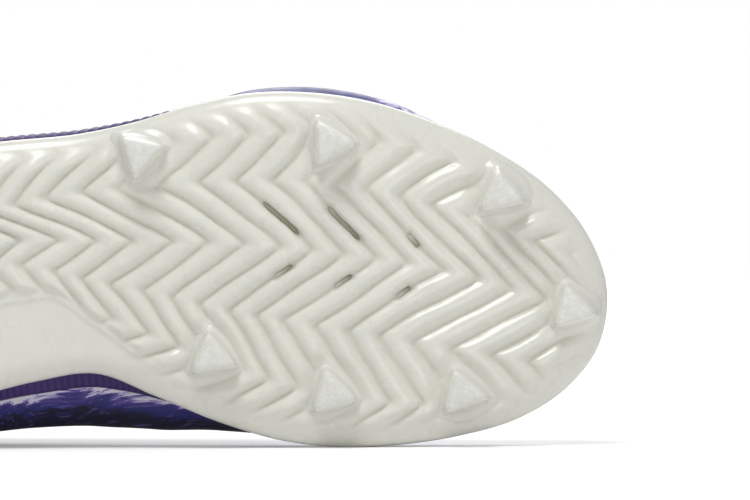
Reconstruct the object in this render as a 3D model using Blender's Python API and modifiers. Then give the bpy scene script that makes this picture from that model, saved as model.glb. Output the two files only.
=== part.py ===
"""Low football cleat for the right foot, lying on its medial side.

The shoe is worked out in its own frame: x runs from the back of the heel to the toe, y towards
the medial side (the side of the big toe) and z up from the plane that the stud tips stand on.
At the end the whole shoe is laid down as on a floor, its sole facing -Y and its toe towards +X.
All lengths are in metres, and the tables hold shares of the named sizes.
"""

import bisect
import functools
import math

import bmesh
import bpy
from mathutils import Matrix, Vector
from mathutils.geometry import delaunay_2d_cdt

# Overall sizes
LENGTH = 0.300
BALL_WIDTH = 0.107
INSTEP_HEIGHT = 0.082
COLLAR_HEIGHT = 0.064
THROAT_WIDTH = 0.044
CLEARANCE = 0.0003

# Outsole plate
PLATE_THICKNESS = 0.0035
SIDE_HEIGHT = 0.0070
RIM_WALL = 0.0018
RIM_CURVE = 0.0070
RIM_BOTTOM_LIFT = 0.0045
TOE_SPRING = 0.0135
ARCH_RISE = 0.0055
HEEL_LIFT = 0.0030

# Herringbone tread
RIB_HEIGHT = 0.0020
TREAD_MARGIN = 0.0080
TREAD_FADE = 0.0035
ARCH_PANEL = 0.0190

# Studs
STUD_HEIGHT = 0.0105
STUD_TIP_RADIUS = 0.0078
STUD_DRAFT = 0.0026
STUD_CORNER = 0.22

# Upper
UPPER_WALL = 0.0020
BELLY_HEIGHT = 0.0200
HEEL_CENTRE = 0.038
TOE_CENTRE = 0.040
THROAT_FRONT = 0.690
EYELET_ROWS = 7
EYELET_RADIUS = 0.0022
EYELET_INSET = 0.0075
EYELET_FIRST = 0.662
EYELET_LAST = 0.432

# Rand, the ribbed strip round the heel and waist
RAND_RISE = 0.0062
RAND_THICKNESS = 0.0012
RAND_LEVELS = 2

# Tongue, insole and laces
TONGUE_THICKNESS = 0.0045
TONGUE_WIDTH = 0.062
INSOLE_THICKNESS = 0.0040
LACE_WIDTH = 0.0065
LACE_THICKNESS = 0.0016

OUTLINE_STEPS = 3
BEND_STEPS = 25
BEND_END = 0.002
HEEL_FAN_STEPS = 6
TOE_FAN_STEPS = 8
COLLAR_STATIONS = 21
VAMP_STATIONS = 6
LOWER_LEVELS = 3
UPPER_LEVELS = 7


class Table:
    """A few rows of values along the shoe, with a smooth curve through each column."""

    def __init__(self, columns, rows):
        self.x = [row[0] for row in rows]
        self.values = {name: [row[i + 1] for row in rows] for i, name in enumerate(columns)}
        self.slopes = {name: self.slopes_of(values) for name, values in self.values.items()}

    def slopes_of(self, values):
        """Slopes at the rows that let no stretch between two rows overshoot them."""
        rises = [
            (values[i + 1] - values[i]) / (self.x[i + 1] - self.x[i])
            for i in range(len(values) - 1)
        ]
        inner = [
            2 * before * after / (before + after) if before * after > 0 else 0.0
            for before, after in zip(rises, rises[1:])
        ]
        return [rises[0], *inner, rises[-1]]

    def at(self, name, x):
        """The column's value at a share x of the length."""
        x = min(max(x, self.x[0]), self.x[-1])
        i = min(bisect.bisect_right(self.x, x) - 1, len(self.x) - 2)
        values, slopes = self.values[name], self.slopes[name]
        step = self.x[i + 1] - self.x[i]
        t = (x - self.x[i]) / step
        return (
            values[i] * (1 + 2 * t) * (1 - t) ** 2
            + slopes[i] * step * t * (1 - t) ** 2
            + values[i + 1] * t * t * (3 - 2 * t)
            - slopes[i + 1] * step * t * t * (1 - t)
        )


# Edge of the sole in plan, as shares of the length and of the ball width
OUTLINE_HEEL = (0.0, 0.0)
OUTLINE_TOE = (1.0, 0.140)
OUTLINE_ROWS = (
    # x, medial, lateral
    (0.020, 0.170, -0.170),
    (0.070, 0.285, -0.290),
    (0.150, 0.355, -0.360),
    (0.250, 0.340, -0.402),
    (0.340, 0.293, -0.425),
    (0.420, 0.252, -0.430),
    (0.480, 0.243, -0.432),
    (0.540, 0.322, -0.452),
    (0.600, 0.407, -0.487),
    (0.660, 0.472, -0.506),
    (0.720, 0.506, -0.493),
    (0.780, 0.513, -0.453),
    (0.840, 0.502, -0.382),
    (0.900, 0.468, -0.285),
    (0.950, 0.397, -0.170),
    (0.985, 0.293, -0.030),
)

# Rise of the plate along the shoe, as shares of the toe spring, the arch rise and the heel lift
RISE = Table(
    ("toe", "arch", "heel"),
    (
        (0.00, 0.00, 0.00, 1.00),
        (0.05, 0.00, 0.00, 0.30),
        (0.12, 0.00, 0.00, 0.00),
        (0.28, 0.00, 0.15, 0.00),
        (0.38, 0.00, 0.75, 0.00),
        (0.46, 0.00, 1.00, 0.00),
        (0.56, 0.00, 0.60, 0.00),
        (0.66, 0.00, 0.08, 0.00),
        (0.74, 0.00, 0.00, 0.00),
        (0.82, 0.12, 0.00, 0.00),
        (0.90, 0.40, 0.00, 0.00),
        (0.96, 0.72, 0.00, 0.00),
        (1.00, 1.00, 0.00, 0.00),
    ),
)

# Width of the smooth arch panel between tread and medial edge, as a share of its full width
ARCH = Table(
    ("panel",),
    ((0.22, 0.0), (0.32, 0.7), (0.38, 1.0), (0.44, 0.95), (0.48, 0.5), (0.53, 0.12), (0.60, 0.0)),
)

# Number of ribs from the back of the heel to a place on the herringbone's middle line
RIBS = Table(
    ("count",),
    ((0.0, 0.0), (0.2, 6.0), (0.417, 12.4), (0.674, 19.4), (0.8, 23.4), (0.9, 26.3), (0.952, 28.0), (1.0, 29.5)),
)

# Lines on which the herringbone turns, as shares of the ball width, and how far behind the middle
# line a rib meets each of them, in ribs
KINKS = Table(
    ("y1", "y2", "y3", "y4", "y5", "back1", "back2", "back4", "back5"),
    (
        (0.00, -0.250, -0.130, 0.000, 0.130, 0.250, 0.00, -1.30, -1.30, -0.10),
        (0.20, -0.280, -0.160, -0.020, 0.120, 0.250, -0.20, -1.60, -1.50, -0.20),
        (0.30, -0.330, -0.200, -0.090, 0.010, 0.140, -0.50, -1.70, -1.20, -0.10),
        (0.40, -0.370, -0.245, -0.150, -0.080, -0.010, -0.80, -2.20, -1.10, -0.30),
        (0.50, -0.385, -0.267, -0.127, -0.005, 0.090, -0.80, -2.40, -1.70, -0.70),
        (0.60, -0.390, -0.265, -0.100, 0.080, 0.235, -0.70, -2.20, -2.50, -1.20),
        (0.70, -0.385, -0.247, -0.056, 0.158, 0.345, -0.60, -2.10, -3.20, -1.90),
        (0.80, -0.331, -0.180, 0.003, 0.226, 0.402, -0.50, -2.20, -3.10, -1.95),
        (0.90, -0.210, -0.068, 0.098, 0.300, 0.420, -0.30, -2.20, -2.80, -1.70),
        (1.00, -0.060, 0.070, 0.220, 0.370, 0.450, -0.10, -2.10, -2.70, -1.60),
    ),
)
KINK_MARGIN = 0.20
LATERAL_EDGE_BACK = 2.0
MEDIAL_EDGE_BACK = 3.2

# Share of the pitch from a rib's middle to the end of its flat top and to its foot
RIB_TOP = 0.17
RIB_FOOT = 0.36

# Studs: place as shares of length and ball width, and turn of the triangle in degrees
STUDS = (
    # x, y, turn
    (0.549, -0.372, -13.0),
    (0.735, -0.345, 5.0),
    (0.893, -0.178, 25.0),
    (0.958, 0.178, 19.0),
    (0.846, 0.382, 16.0),
    (0.716, 0.352, 20.0),
    (0.600, 0.222, 27.0),
    (0.235, -0.262, 185.0),
    (0.090, -0.185, 165.0),
    (0.090, 0.185, 195.0),
    (0.235, 0.205, 175.0),
)

# The upper over the last. The spine is the plan line under the ridge of the instep, a share of the
# ball width; the bulges are how far the wall stands out past its foot, shares of the ball width;
# ridge is the height of the instep line over the plate, a share of the instep height; power is
# the squareness of the section over its widest point.
LAST = Table(
    ("spine", "bulge_medial", "bulge_lateral", "ridge", "belly", "power"),
    (
        (0.00, 0.000, 0.036, 0.036, 1.42, 0.95, 2.1),
        (0.13, 0.000, 0.040, 0.032, 1.42, 0.95, 3.3),
        (0.25, -0.015, 0.079, 0.028, 1.36, 1.05, 3.3),
        (0.33, -0.028, 0.122, 0.026, 1.25, 1.15, 2.7),
        (0.42, -0.035, 0.160, 0.028, 1.00, 1.15, 2.1),
        (0.48, -0.033, 0.160, 0.028, 0.885, 1.15, 1.9),
        (0.54, -0.026, 0.100, 0.027, 0.790, 1.00, 1.85),
        (0.60, -0.016, 0.050, 0.022, 0.712, 0.90, 1.9),
        (0.66, -0.002, 0.022, 0.024, 0.650, 0.80, 1.95),
        (0.74, 0.020, 0.010, 0.035, 0.575, 0.70, 2.0),
        (0.80, 0.045, 0.010, 0.035, 0.520, 0.65, 2.1),
        (0.867, 0.075, 0.012, 0.030, 0.452, 0.60, 2.2),
        (0.93, 0.075, 0.016, 0.024, 0.452, 0.50, 2.3),
        (1.00, 0.075, 0.016, 0.016, 0.452, 0.42, 2.3),
    ),
)

# Top edge of the collar, a share of the collar height, and half the throat, a share of half its width
COLLAR = Table(
    ("top", "throat"),
    (
        (0.000, 1.00, 1.00),
        (0.060, 0.98, 1.00),
        (0.130, 0.88, 1.00),
        (0.220, 0.795, 1.00),
        (0.300, 0.86, 1.00),
        (0.360, 1.04, 1.00),
        (0.420, 1.40, 1.00),
        (0.500, 1.90, 0.86),
        (0.600, 1.90, 0.68),
        (0.650, 1.90, 0.54),
        (0.676, 1.90, 0.34),
        (THROAT_FRONT, 1.90, 0.00),
    ),
)

# Height of the rand, a share of its rise, down to nothing at the ball
RAND_FRONT = 0.560
RAND = Table(
    ("rise",), ((0.00, 1.15), (0.30, 1.05), (0.44, 0.92), (0.50, 0.62), (0.54, 0.25), (RAND_FRONT, 0.08))
)

# Width of the tongue, a share of its full width, and its padding, a share of its thickness
TONGUE = Table(
    ("width", "pad"),
    ((0.345, 0.86, 0.90), (0.365, 1.00, 1.00), (0.45, 0.97, 1.00), (0.58, 0.75, 0.75), (0.715, 0.52, 0.45)),
)


def plate_bottom(x):
    """Height of the plate's underside between the ribs, over the plane of the stud tips."""
    share = x / LENGTH
    return (
        STUD_HEIGHT
        + TOE_SPRING * RISE.at("toe", share)
        + ARCH_RISE * RISE.at("arch", share)
        + HEEL_LIFT * RISE.at("heel", share)
    )


def plate_top(x):
    """Height of the plate's inner face, on which upper and insole sit."""
    return plate_bottom(x) + PLATE_THICKNESS


@functools.lru_cache(maxsize=None)
def outline(inset=0.0):
    """The sole's edge in plan as a ring of points, moved inwards by inset: from the back of the
    heel along the medial side to the toe, and back along the lateral side."""
    corners = [OUTLINE_HEEL]
    corners += [(x, medial) for x, medial, _ in OUTLINE_ROWS]
    corners += [OUTLINE_TOE]
    corners += [(x, lateral) for x, _, lateral in reversed(OUTLINE_ROWS)]
    knots = [Vector((x * LENGTH, y * BALL_WIDTH)) for x, y in corners]
    count = len(knots)
    ring = []
    for i in range(count):
        before, start, end, after = (knots[(i + k) % count] for k in (-1, 0, 1, 2))
        span = (end - start).length
        leave = slope_at(before, start, end) * span
        arrive = slope_at(start, end, after) * span
        for step in range(OUTLINE_STEPS):
            t = step / OUTLINE_STEPS
            ring.append(
                start * ((1 + 2 * t) * (1 - t) ** 2)
                + leave * (t * (1 - t) ** 2)
                + end * (t * t * (3 - 2 * t))
                - arrive * (t * t * (1 - t))
            )
    return tuple(inward(ring, i, inset) for i in range(len(ring)))


def slope_at(before, here, after):
    """Direction of a smooth curve at the middle one of three points, per unit of its length."""
    first, second = (here - before).length, (after - here).length
    return ((here - before) * (second / first) + (after - here) * (first / second)) / (first + second)


def inward(ring, i, inset):
    """Point i of a ring that runs clockwise seen from above, moved inwards by inset."""
    along = (ring[(i + 1) % len(ring)] - ring[i - 1]).normalized()
    return ring[i] + Vector((along.y, -along.x)) * inset


def reach(ring, origin, direction):
    """Distance from a point inside a ring to the ring, along a unit direction."""
    best = 0.0
    for start, end in zip(ring, ring[1:] + ring[:1]):
        along = end - start
        cross = direction.x * along.y - direction.y * along.x
        if abs(cross) < 1e-15:
            continue
        gap = start - origin
        distance = (gap.x * along.y - gap.y * along.x) / cross
        share = (gap.x * direction.y - gap.y * direction.x) / cross
        if distance > 0 and -1e-9 <= share <= 1 + 1e-9:
            best = max(best, distance)
    return best


def depth_inside(point, ring):
    """Distance from a point to the nearest stretch of a ring."""
    nearest = math.inf
    for start, end in zip(ring, ring[1:] + ring[:1]):
        along = end - start
        t = min(max((point - start).dot(along) / along.length_squared, 0.0), 1.0)
        nearest = min(nearest, (point - start - along * t).length)
    return nearest


def is_inside(point, ring):
    """Whether a point lies inside a ring."""
    inside = False
    for start, end in zip(ring, ring[1:] + ring[:1]):
        if (start.y > point.y) != (end.y > point.y):
            across = start.x + (point.y - start.y) / (end.y - start.y) * (end.x - start.x)
            inside ^= point.x < across
    return inside


def clipped(pieces, ring, keep_inside):
    """The stretches of straight pieces that lie inside, or outside, a ring."""
    kept = []
    for first, last in pieces:
        run = last - first
        cuts = [0.0, 1.0]
        for start, end in zip(ring, ring[1:] + ring[:1]):
            along = end - start
            cross = run.x * along.y - run.y * along.x
            if abs(cross) < 1e-15:
                continue
            gap = start - first
            t = (gap.x * along.y - gap.y * along.x) / cross
            share = (gap.x * run.y - gap.y * run.x) / cross
            if 0 < t < 1 and 0 <= share <= 1:
                cuts.append(t)
        cuts.sort()
        for low, high in zip(cuts, cuts[1:]):
            middle = first + run * ((low + high) / 2)
            if (high - low) * run.length > 1e-5 and is_inside(middle, ring) == keep_inside:
                kept.append((first + run * low, first + run * high))
    return kept


# Herringbone


def kinks_at(x):
    """The lines on which a rib turns at x, lateral to medial: each one's y, and how far behind the
    middle line the rib meets it, in pitches."""
    share = x / LENGTH
    lines = [
        (KINKS.at("y1", share), KINKS.at("back1", share)),
        (KINKS.at("y2", share), KINKS.at("back2", share)),
        (KINKS.at("y3", share), 0.0),
        (KINKS.at("y4", share), KINKS.at("back4", share)),
        (KINKS.at("y5", share), KINKS.at("back5", share)),
    ]
    first = (lines[0][0] - KINK_MARGIN, lines[0][1] - LATERAL_EDGE_BACK)
    last = (lines[-1][0] + KINK_MARGIN, lines[-1][1] - MEDIAL_EDGE_BACK)
    return [(y * BALL_WIDTH, back) for y, back in (first, *lines, last)]


def rib_phase(x, y):
    """Where a point lies in the row of ribs: a whole number on a rib's middle."""
    lines = kinks_at(x)
    back = lines[0][1] if y < lines[0][0] else lines[-1][1]
    for (low, low_back), (high, high_back) in zip(lines, lines[1:]):
        if low <= y <= high:
            back = low_back + (high_back - low_back) * (y - low) / (high - low)
    return ribs_before(x) - back


def ribs_before(x):
    """Ribs on the middle line up to x, which also counts on beyond heel and toe."""
    inside = min(max(x / LENGTH, 0.0), 1.0)
    return RIBS.at("count", inside) + (x / LENGTH - inside) * RIBS.values["count"][-1]


def rib_line(phase):
    """The line along a rib at one phase, as straight pieces from kink to kink."""
    points = []
    pitch = LENGTH / RIBS.values["count"][-1]
    for line in range(len(kinks_at(0.0))):
        x = phase * pitch
        for _ in range(12):
            x += (phase + kinks_at(x)[line][1] - ribs_before(x)) * pitch
        points.append(Vector((x, kinks_at(x)[line][0])))
    return list(zip(points, points[1:]))


def rib_height(x, y, tread):
    """How far the tread stands out from the plate at a point."""
    point = Vector((x, y))
    if not is_inside(point, tread):
        return 0.0
    off_middle = abs((rib_phase(x, y) + 0.5) % 1.0 - 0.5)
    side = (RIB_FOOT - off_middle) / (RIB_FOOT - RIB_TOP)
    fade = depth_inside(point, tread) / TREAD_FADE
    return RIB_HEIGHT * min(max(side, 0.0), 1.0) * min(fade, 1.0)


def tread_ring(inset):
    """Edge of the tread, inside the sole's rim and past the smooth panel at the arch."""
    ring = outline(inset)
    medial = len(ring) // 2
    return tuple(
        Vector((p.x, p.y - ARCH_PANEL * ARCH.at("panel", p.x / LENGTH))) if i < medial else p
        for i, p in enumerate(ring)
    )


def stud_ring(stud, radius):
    """A triangle with cut corners, the shape of a stud in plan."""
    x, y, turn = stud
    centre = Vector((x * LENGTH, y * BALL_WIDTH))
    corners = [
        centre + Vector((math.cos(a), math.sin(a))) * radius
        for a in (math.radians(turn + 120 * k) for k in range(3))
    ]
    ring = []
    for i, corner in enumerate(corners):
        before, after = corners[i - 1], corners[(i + 1) % 3]
        first = corner.lerp(before, STUD_CORNER)
        last = corner.lerp(after, STUD_CORNER)
        ring += [first, (first + last) / 4 + corner / 2, last]
    return tuple(reversed(ring))


def stud_rings(stud):
    """The tip and the foot of a stud in plan. The foot stays inside the sole's edge."""
    tip = stud_ring(stud, STUD_TIP_RADIUS)
    centre = sum(tip, Vector((0, 0))) / len(tip)
    edge = outline(RIM_WALL)
    foot = []
    for p in tip:
        away = (p - centre).normalized()
        foot.append(centre + away * min((p - centre).length + STUD_DRAFT, reach(edge, centre, away)))
    return tip, tuple(foot)


def stud_tip_height(stud):
    """Height of a stud's flat tip: on the standing plane, or above it under the raised toe."""
    return max(0.0, plate_bottom(stud[0] * LENGTH) - STUD_HEIGHT)


def rim_lift(depth):
    """How far the plate's underside curls up towards its edge, at a depth inside that edge."""
    share = min(max(1 - depth / RIM_CURVE, 0.0), 1.0)
    return RIM_BOTTOM_LIFT * (1 - math.sqrt(max(0.0, 1 - share * share)))


# Meshes


def add_mesh(name, bm, collection, material=None):
    """Makes an object from a bmesh."""
    mesh = bpy.data.meshes.new(name)
    bm.to_mesh(mesh)
    bm.free()
    obj = bpy.data.objects.new(name, mesh)
    collection.objects.link(obj)
    if material:
        mesh.materials.append(material)
    return obj


def make_material(name, colour, roughness, metallic=0.0):
    material = bpy.data.materials.new(name)
    material.use_nodes = True
    shader = material.node_tree.nodes["Principled BSDF"]
    shader.inputs["Base Color"].default_value = (*colour, 1.0)
    shader.inputs["Roughness"].default_value = roughness
    shader.inputs["Metallic"].default_value = metallic
    return material


def triangulated(rings, pieces):
    """Plan points and triangles inside the first ring, with every ring and piece kept as edges."""
    points, edges = [], []
    for ring in rings:
        start = len(points)
        points += ring
        edges += [(start + i, start + (i + 1) % len(ring)) for i in range(len(ring))]
    for first, last in pieces:
        points += [first, last]
        edges.append((len(points) - 2, len(points) - 1))
    found = delaunay_2d_cdt(points, edges, [list(range(len(rings[0])))], 1, 1e-7)
    return found[0], found[2]


def cross_pieces(inset):
    """Straight pieces across the plan, ending short of its edge at inset, so that a sheet inside
    that edge can bend along the shoe."""
    lines = [
        (Vector((LENGTH * i / BEND_STEPS, -BALL_WIDTH)), Vector((LENGTH * i / BEND_STEPS, BALL_WIDTH)))
        for i in range(1, BEND_STEPS)
    ]
    return clipped(lines, outline(inset + BEND_END), True)


def fill_sheet(bm, rim, ring, pieces, height, facing_up):
    """Fills the plan inside a rim of bmesh vertices with triangles at the given height."""
    points, faces = triangulated([ring], pieces)
    made = []
    for p in points:
        near = min(rim, key=lambda v: (v.co.xy - p).length_squared)
        made.append(near if (near.co.xy - p).length < 1e-6 else bm.verts.new((*p, height(p.x))))
    for face in faces:
        loop = [made[i] for i in face]
        if len(set(loop)) == 3:
            bm.faces.new(loop if facing_up else loop[::-1])


def build_outsole(collection, material):
    """Plate with its rim, herringbone ribs and studs, moulded as one piece."""
    bm = bmesh.new()
    edge = outline()
    floor = outline(RIM_WALL / 3)
    tread = tread_ring(TREAD_MARGIN)
    fade = tread_ring(TREAD_MARGIN + TREAD_FADE)
    studs = [(stud, *stud_rings(stud)) for stud in STUDS]

    pieces = []
    for rib in range(-2, int(ribs_before(LENGTH)) + 6):
        for side in (-RIB_FOOT, -RIB_TOP, RIB_TOP, RIB_FOOT):
            pieces += rib_line(rib + side)
    pieces = clipped(pieces, tread, True)
    for _, _, foot in studs:
        pieces = clipped(pieces, foot, False)
    loops = [tread, fade, outline(RIM_CURVE), outline(RIM_CURVE / 2)]
    for ring in loops:
        parts = list(zip(ring, ring[1:] + ring[:1]))
        for _, _, foot in studs:
            parts = clipped(parts, foot, False)
        pieces += parts
    points, faces = triangulated([floor, *(r for _, tip, foot in studs for r in (tip, foot))], pieces)

    def underside(p):
        base = plate_bottom(p.x) + rim_lift(depth_inside(p, edge))
        height = base - rib_height(p.x, p.y, tread)
        for stud, tip, foot in studs:
            centre = sum(tip, Vector((0, 0))) / len(tip)
            away = p - centre
            if away.length > 2 * STUD_TIP_RADIUS:
                continue
            direction = away.normalized() if away.length > 1e-9 else Vector((1, 0))
            inner, outer = reach(tip, centre, direction), reach(foot, centre, direction)
            share = (outer - away.length) / (outer - inner)
            if share > 1e-4:
                height = min(height, base + (stud_tip_height(stud) - base) * min(share, 1.0))
        return height

    lower = [bm.verts.new((*p, underside(p))) for p in points]
    for face in faces:
        bm.faces.new([lower[i] for i in reversed(face)])
    rim = [min(lower, key=lambda v: (v.co.xy - p).length_squared) for p in floor]

    def loop_at(inset, rise):
        return [bm.verts.new((*p, plate_bottom(p.x) + rise)) for p in outline(inset)]

    bands = [
        rim,
        loop_at(0.0, RIM_BOTTOM_LIFT),
        loop_at(RIM_WALL / 6, SIDE_HEIGHT - RIM_WALL / 3),
        loop_at(RIM_WALL / 2, SIDE_HEIGHT),
        loop_at(RIM_WALL, SIDE_HEIGHT),
        loop_at(RIM_WALL, PLATE_THICKNESS),
    ]
    count = len(rim)
    for low, high in zip(bands, bands[1:]):
        for i in range(count):
            k = (i + 1) % count
            bm.faces.new((low[i], high[i], high[k], low[k]))
    fill_sheet(bm, bands[-1], outline(RIM_WALL), cross_pieces(RIM_WALL), plate_top, True)
    return add_mesh("outsole", bm, collection, material)


# The upper's own function


class Spoke:
    """An upright section through the last: from a centre under the ridge out to one side."""

    def __init__(self, centre, direction):
        self.centre = Vector(centre)
        self.direction = Vector(direction)
        self.foot = reach(outline(RIM_WALL + 2 * CLEARANCE), self.centre, self.direction)
        foot_x = self.centre.x + self.direction.x * self.foot
        share = foot_x / LENGTH
        medial = (1 + self.direction.y) / 2
        bulge = medial * LAST.at("bulge_medial", share) + (1 - medial) * LAST.at("bulge_lateral", share)
        self.foot_share = share
        self.widest = self.foot + bulge * BALL_WIDTH
        self.power = LAST.at("power", share)
        self.floor = plate_top(foot_x) + CLEARANCE
        self.rim = plate_bottom(foot_x) + SIDE_HEIGHT + CLEARANCE
        self.belly = self.floor + BELLY_HEIGHT * LAST.at("belly", share)
        centre_share = self.centre.x / LENGTH
        self.ridge = plate_top(self.centre.x) + INSTEP_HEIGHT * LAST.at("ridge", centre_share)
        self.top_angle = self.edge_angle(centre_share)

    def edge_angle(self, centre_share):
        """Angle up the section at which the collar or the throat cuts it off."""
        if centre_share >= THROAT_FRONT - 1e-6:
            return math.pi / 2
        collar = self.floor + COLLAR_HEIGHT * COLLAR.at("top", self.foot_share)
        rise = min(max((collar - self.belly) / (self.ridge - self.belly), 0.0), 1.0)
        half_throat = COLLAR.at("throat", centre_share) * THROAT_WIDTH / 2
        by_collar = math.asin(rise ** (self.power / 2))
        by_throat = math.acos(min(half_throat / self.widest, 1.0) ** (self.power / 2))
        return min(by_collar, by_throat)

    def place(self, out, height):
        flat = self.centre + self.direction * out
        return Vector((flat.x, flat.y, height))

    def low(self, height):
        """Point of the wall between the sole's rim and the widest line, at a height."""
        t = min(max((height - self.rim) / (self.belly - self.rim), 0.0), 1.0)
        return self.place(self.foot + (self.widest - self.foot) * (1 - math.cos(math.pi * t)) / 2, height)

    def high(self, angle):
        """Point of the wall over the widest line, by its angle up to the ridge."""
        out = self.widest * max(math.cos(angle), 0.0) ** (2 / self.power)
        rise = math.sin(angle) ** (2 / self.power)
        if angle > math.pi / 2 - 1e-9:
            out = 0.0
        return self.place(out, self.belly + (self.ridge - self.belly) * rise)

    def on_wall(self, height):
        """Point on the flat stretches between the wall's lower levels, at a height."""
        levels = self.profile()[1 : LOWER_LEVELS + 2]
        for low, high in zip(levels, levels[1:]):
            if height <= high.z:
                break
        return low.lerp(high, (height - low.z) / (high.z - low.z))

    def profile(self):
        """The wall from its foot on the plate to its top edge."""
        points = [self.place(self.foot, self.floor)]
        for i in range(LOWER_LEVELS):
            points.append(self.low(self.rim + (self.belly - self.rim) * i / LOWER_LEVELS))
        for i in range(UPPER_LEVELS + 1):
            points.append(self.high(self.top_angle * i / UPPER_LEVELS))
        return points


def spine_at(x):
    return Vector((x, LAST.at("spine", x / LENGTH) * BALL_WIDTH))


def fan(centre, first, last, steps):
    """Spokes that turn about a centre, from one angle to another, in degrees."""
    angles = [math.radians(first + (last - first) * i / steps) for i in range(steps + 1)]
    return [Spoke(centre, (math.cos(a), math.sin(a))) for a in angles]


def middle_stations():
    """Stations between heel and toe centres, closer together towards the front of the throat."""
    front = THROAT_FRONT * LENGTH
    toe = LENGTH - TOE_CENTRE
    collar = [
        HEEL_CENTRE + (front - HEEL_CENTRE) * (1 - (1 - i / COLLAR_STATIONS) ** 1.25)
        for i in range(1, COLLAR_STATIONS)
    ]
    vamp = [front + (toe - front) * i / VAMP_STATIONS for i in range(VAMP_STATIONS)]
    return collar + vamp


@functools.lru_cache(maxsize=None)
def all_spokes():
    """Every section of the upper, round the shoe from the back of the heel by the medial side."""
    heel, toe = spine_at(HEEL_CENTRE), spine_at(LENGTH - TOE_CENTRE)
    stations = middle_stations()
    medial = [Spoke(spine_at(x), (0, 1)) for x in stations]
    lateral = [Spoke(spine_at(x), (0, -1)) for x in reversed(stations)]
    return (
        fan(heel, 180, 90, HEEL_FAN_STEPS)
        + medial
        + fan(toe, 90, -90, 2 * TOE_FAN_STEPS)
        + lateral
        + fan(heel, -90, -180, HEEL_FAN_STEPS)[:-1]
    )


def skin(x, off):
    """Point of the outer skin over the instep, off the spine by a signed distance, and its normal.
    Across the throat the skin is the one that the closed upper would have."""

    def height(at_x, at_off):
        spoke = Spoke(spine_at(at_x), (0, 1 if at_off >= 0 else -1))
        share = min(abs(at_off) / spoke.widest, 1.0)
        return spoke.belly + (spoke.ridge - spoke.belly) * (1 - share**spoke.power) ** (1 / spoke.power)

    step = 0.001
    spine = spine_at(x)
    sway = (spine_at(x + step).y - spine_at(x - step).y) / (2 * step)
    along = (height(x + step, off) - height(x - step, off)) / (2 * step)
    across = (height(x, off + step) - height(x, off - step)) / (2 * step)
    normal = Vector((-along + across * sway, -across, 1)).normalized()
    return Vector((x, spine.y + off, height(x, off))), normal


def grid_surface(bm, rows, closed):
    """Faces between rows of points that run up the wall, facing outwards."""
    made = [[bm.verts.new(p) for p in row] for row in rows]
    pairs = list(zip(made, made[1:] + made[:1])) if closed else list(zip(made, made[1:]))
    for here, after in pairs:
        for i in range(len(here) - 1):
            bm.faces.new((here[i], here[i + 1], after[i + 1], after[i]))


def tube(bm, rings):
    """A closed body through a row of rings of bmesh vertices."""
    for here, after in zip(rings, rings[1:]):
        for i in range(len(here)):
            k = (i + 1) % len(here)
            bm.faces.new((here[i], here[k], after[k], after[i]))
    bm.faces.new(rings[0])
    bm.faces.new(rings[-1][::-1])
    bmesh.ops.recalc_face_normals(bm, faces=bm.faces)


def build_upper(collection, cutters, material):
    """The one-piece upper: a wall over the last, open below, at the collar and at the throat."""
    bm = bmesh.new()
    grid_surface(bm, [spoke.profile() for spoke in all_spokes()], closed=True)
    bmesh.ops.remove_doubles(bm, verts=bm.verts, dist=1e-5)
    upper = add_mesh("upper", bm, collection, material)
    wall = upper.modifiers.new("wall", "SOLIDIFY")
    wall.thickness = UPPER_WALL
    wall.offset = -1.0
    wall.use_even_offset = True
    wall.use_quality_normals = True

    bm = bmesh.new()
    for point, normal in eyelet_places():
        turn = Vector((0, 0, 1)).rotation_difference(normal).to_matrix().to_4x4()
        bmesh.ops.create_cone(
            bm,
            cap_ends=True,
            segments=10,
            radius1=EYELET_RADIUS,
            radius2=EYELET_RADIUS,
            depth=5 * UPPER_WALL,
            matrix=Matrix.Translation(point) @ turn,
        )
    cutter = add_mesh("eyelet_cutter", bm, cutters)
    cutter.hide_render = True
    cutter.display_type = "WIRE"
    cut = upper.modifiers.new("eyelets", "BOOLEAN")
    cut.operation = "DIFFERENCE"
    cut.object = cutter
    return upper


def eyelet_offset(x, side):
    """Signed distance of an eyelet from the spine, so that it lies in from the throat's edge."""
    half_throat = COLLAR.at("throat", x / LENGTH) * THROAT_WIDTH / 2
    _, normal = skin(x, side * (half_throat + EYELET_INSET / 2))
    return side * (half_throat + EYELET_INSET * normal.z)


def eyelet_stations():
    steps = EYELET_ROWS - 1
    return [LENGTH * (EYELET_FIRST + (EYELET_LAST - EYELET_FIRST) * i / steps) for i in range(EYELET_ROWS)]


def eyelet_places():
    return [skin(x, eyelet_offset(x, side)) for x in eyelet_stations() for side in (1, -1)]


def build_rand(collection, material):
    """Strip round the foot of the upper, from the ball on one side round the heel to the other."""
    spokes = all_spokes()
    toe = len(spokes) // 2
    bm = bmesh.new()
    rings = []
    for spoke in spokes[toe:] + spokes[:toe]:
        if spoke.foot_share > RAND_FRONT:
            continue
        rise = RAND_RISE * RAND.at("rise", spoke.foot_share)
        out = Vector((spoke.direction.x, spoke.direction.y, 0))
        inner = [
            spoke.on_wall(spoke.rim + CLEARANCE + rise * i / RAND_LEVELS) + out * CLEARANCE * 1.5
            for i in range(RAND_LEVELS + 1)
        ]
        rings.append([bm.verts.new(p) for p in inner + [p + out * RAND_THICKNESS for p in reversed(inner)]])
    tube(bm, rings)
    return add_mesh("rand", bm, collection, material)


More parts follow.
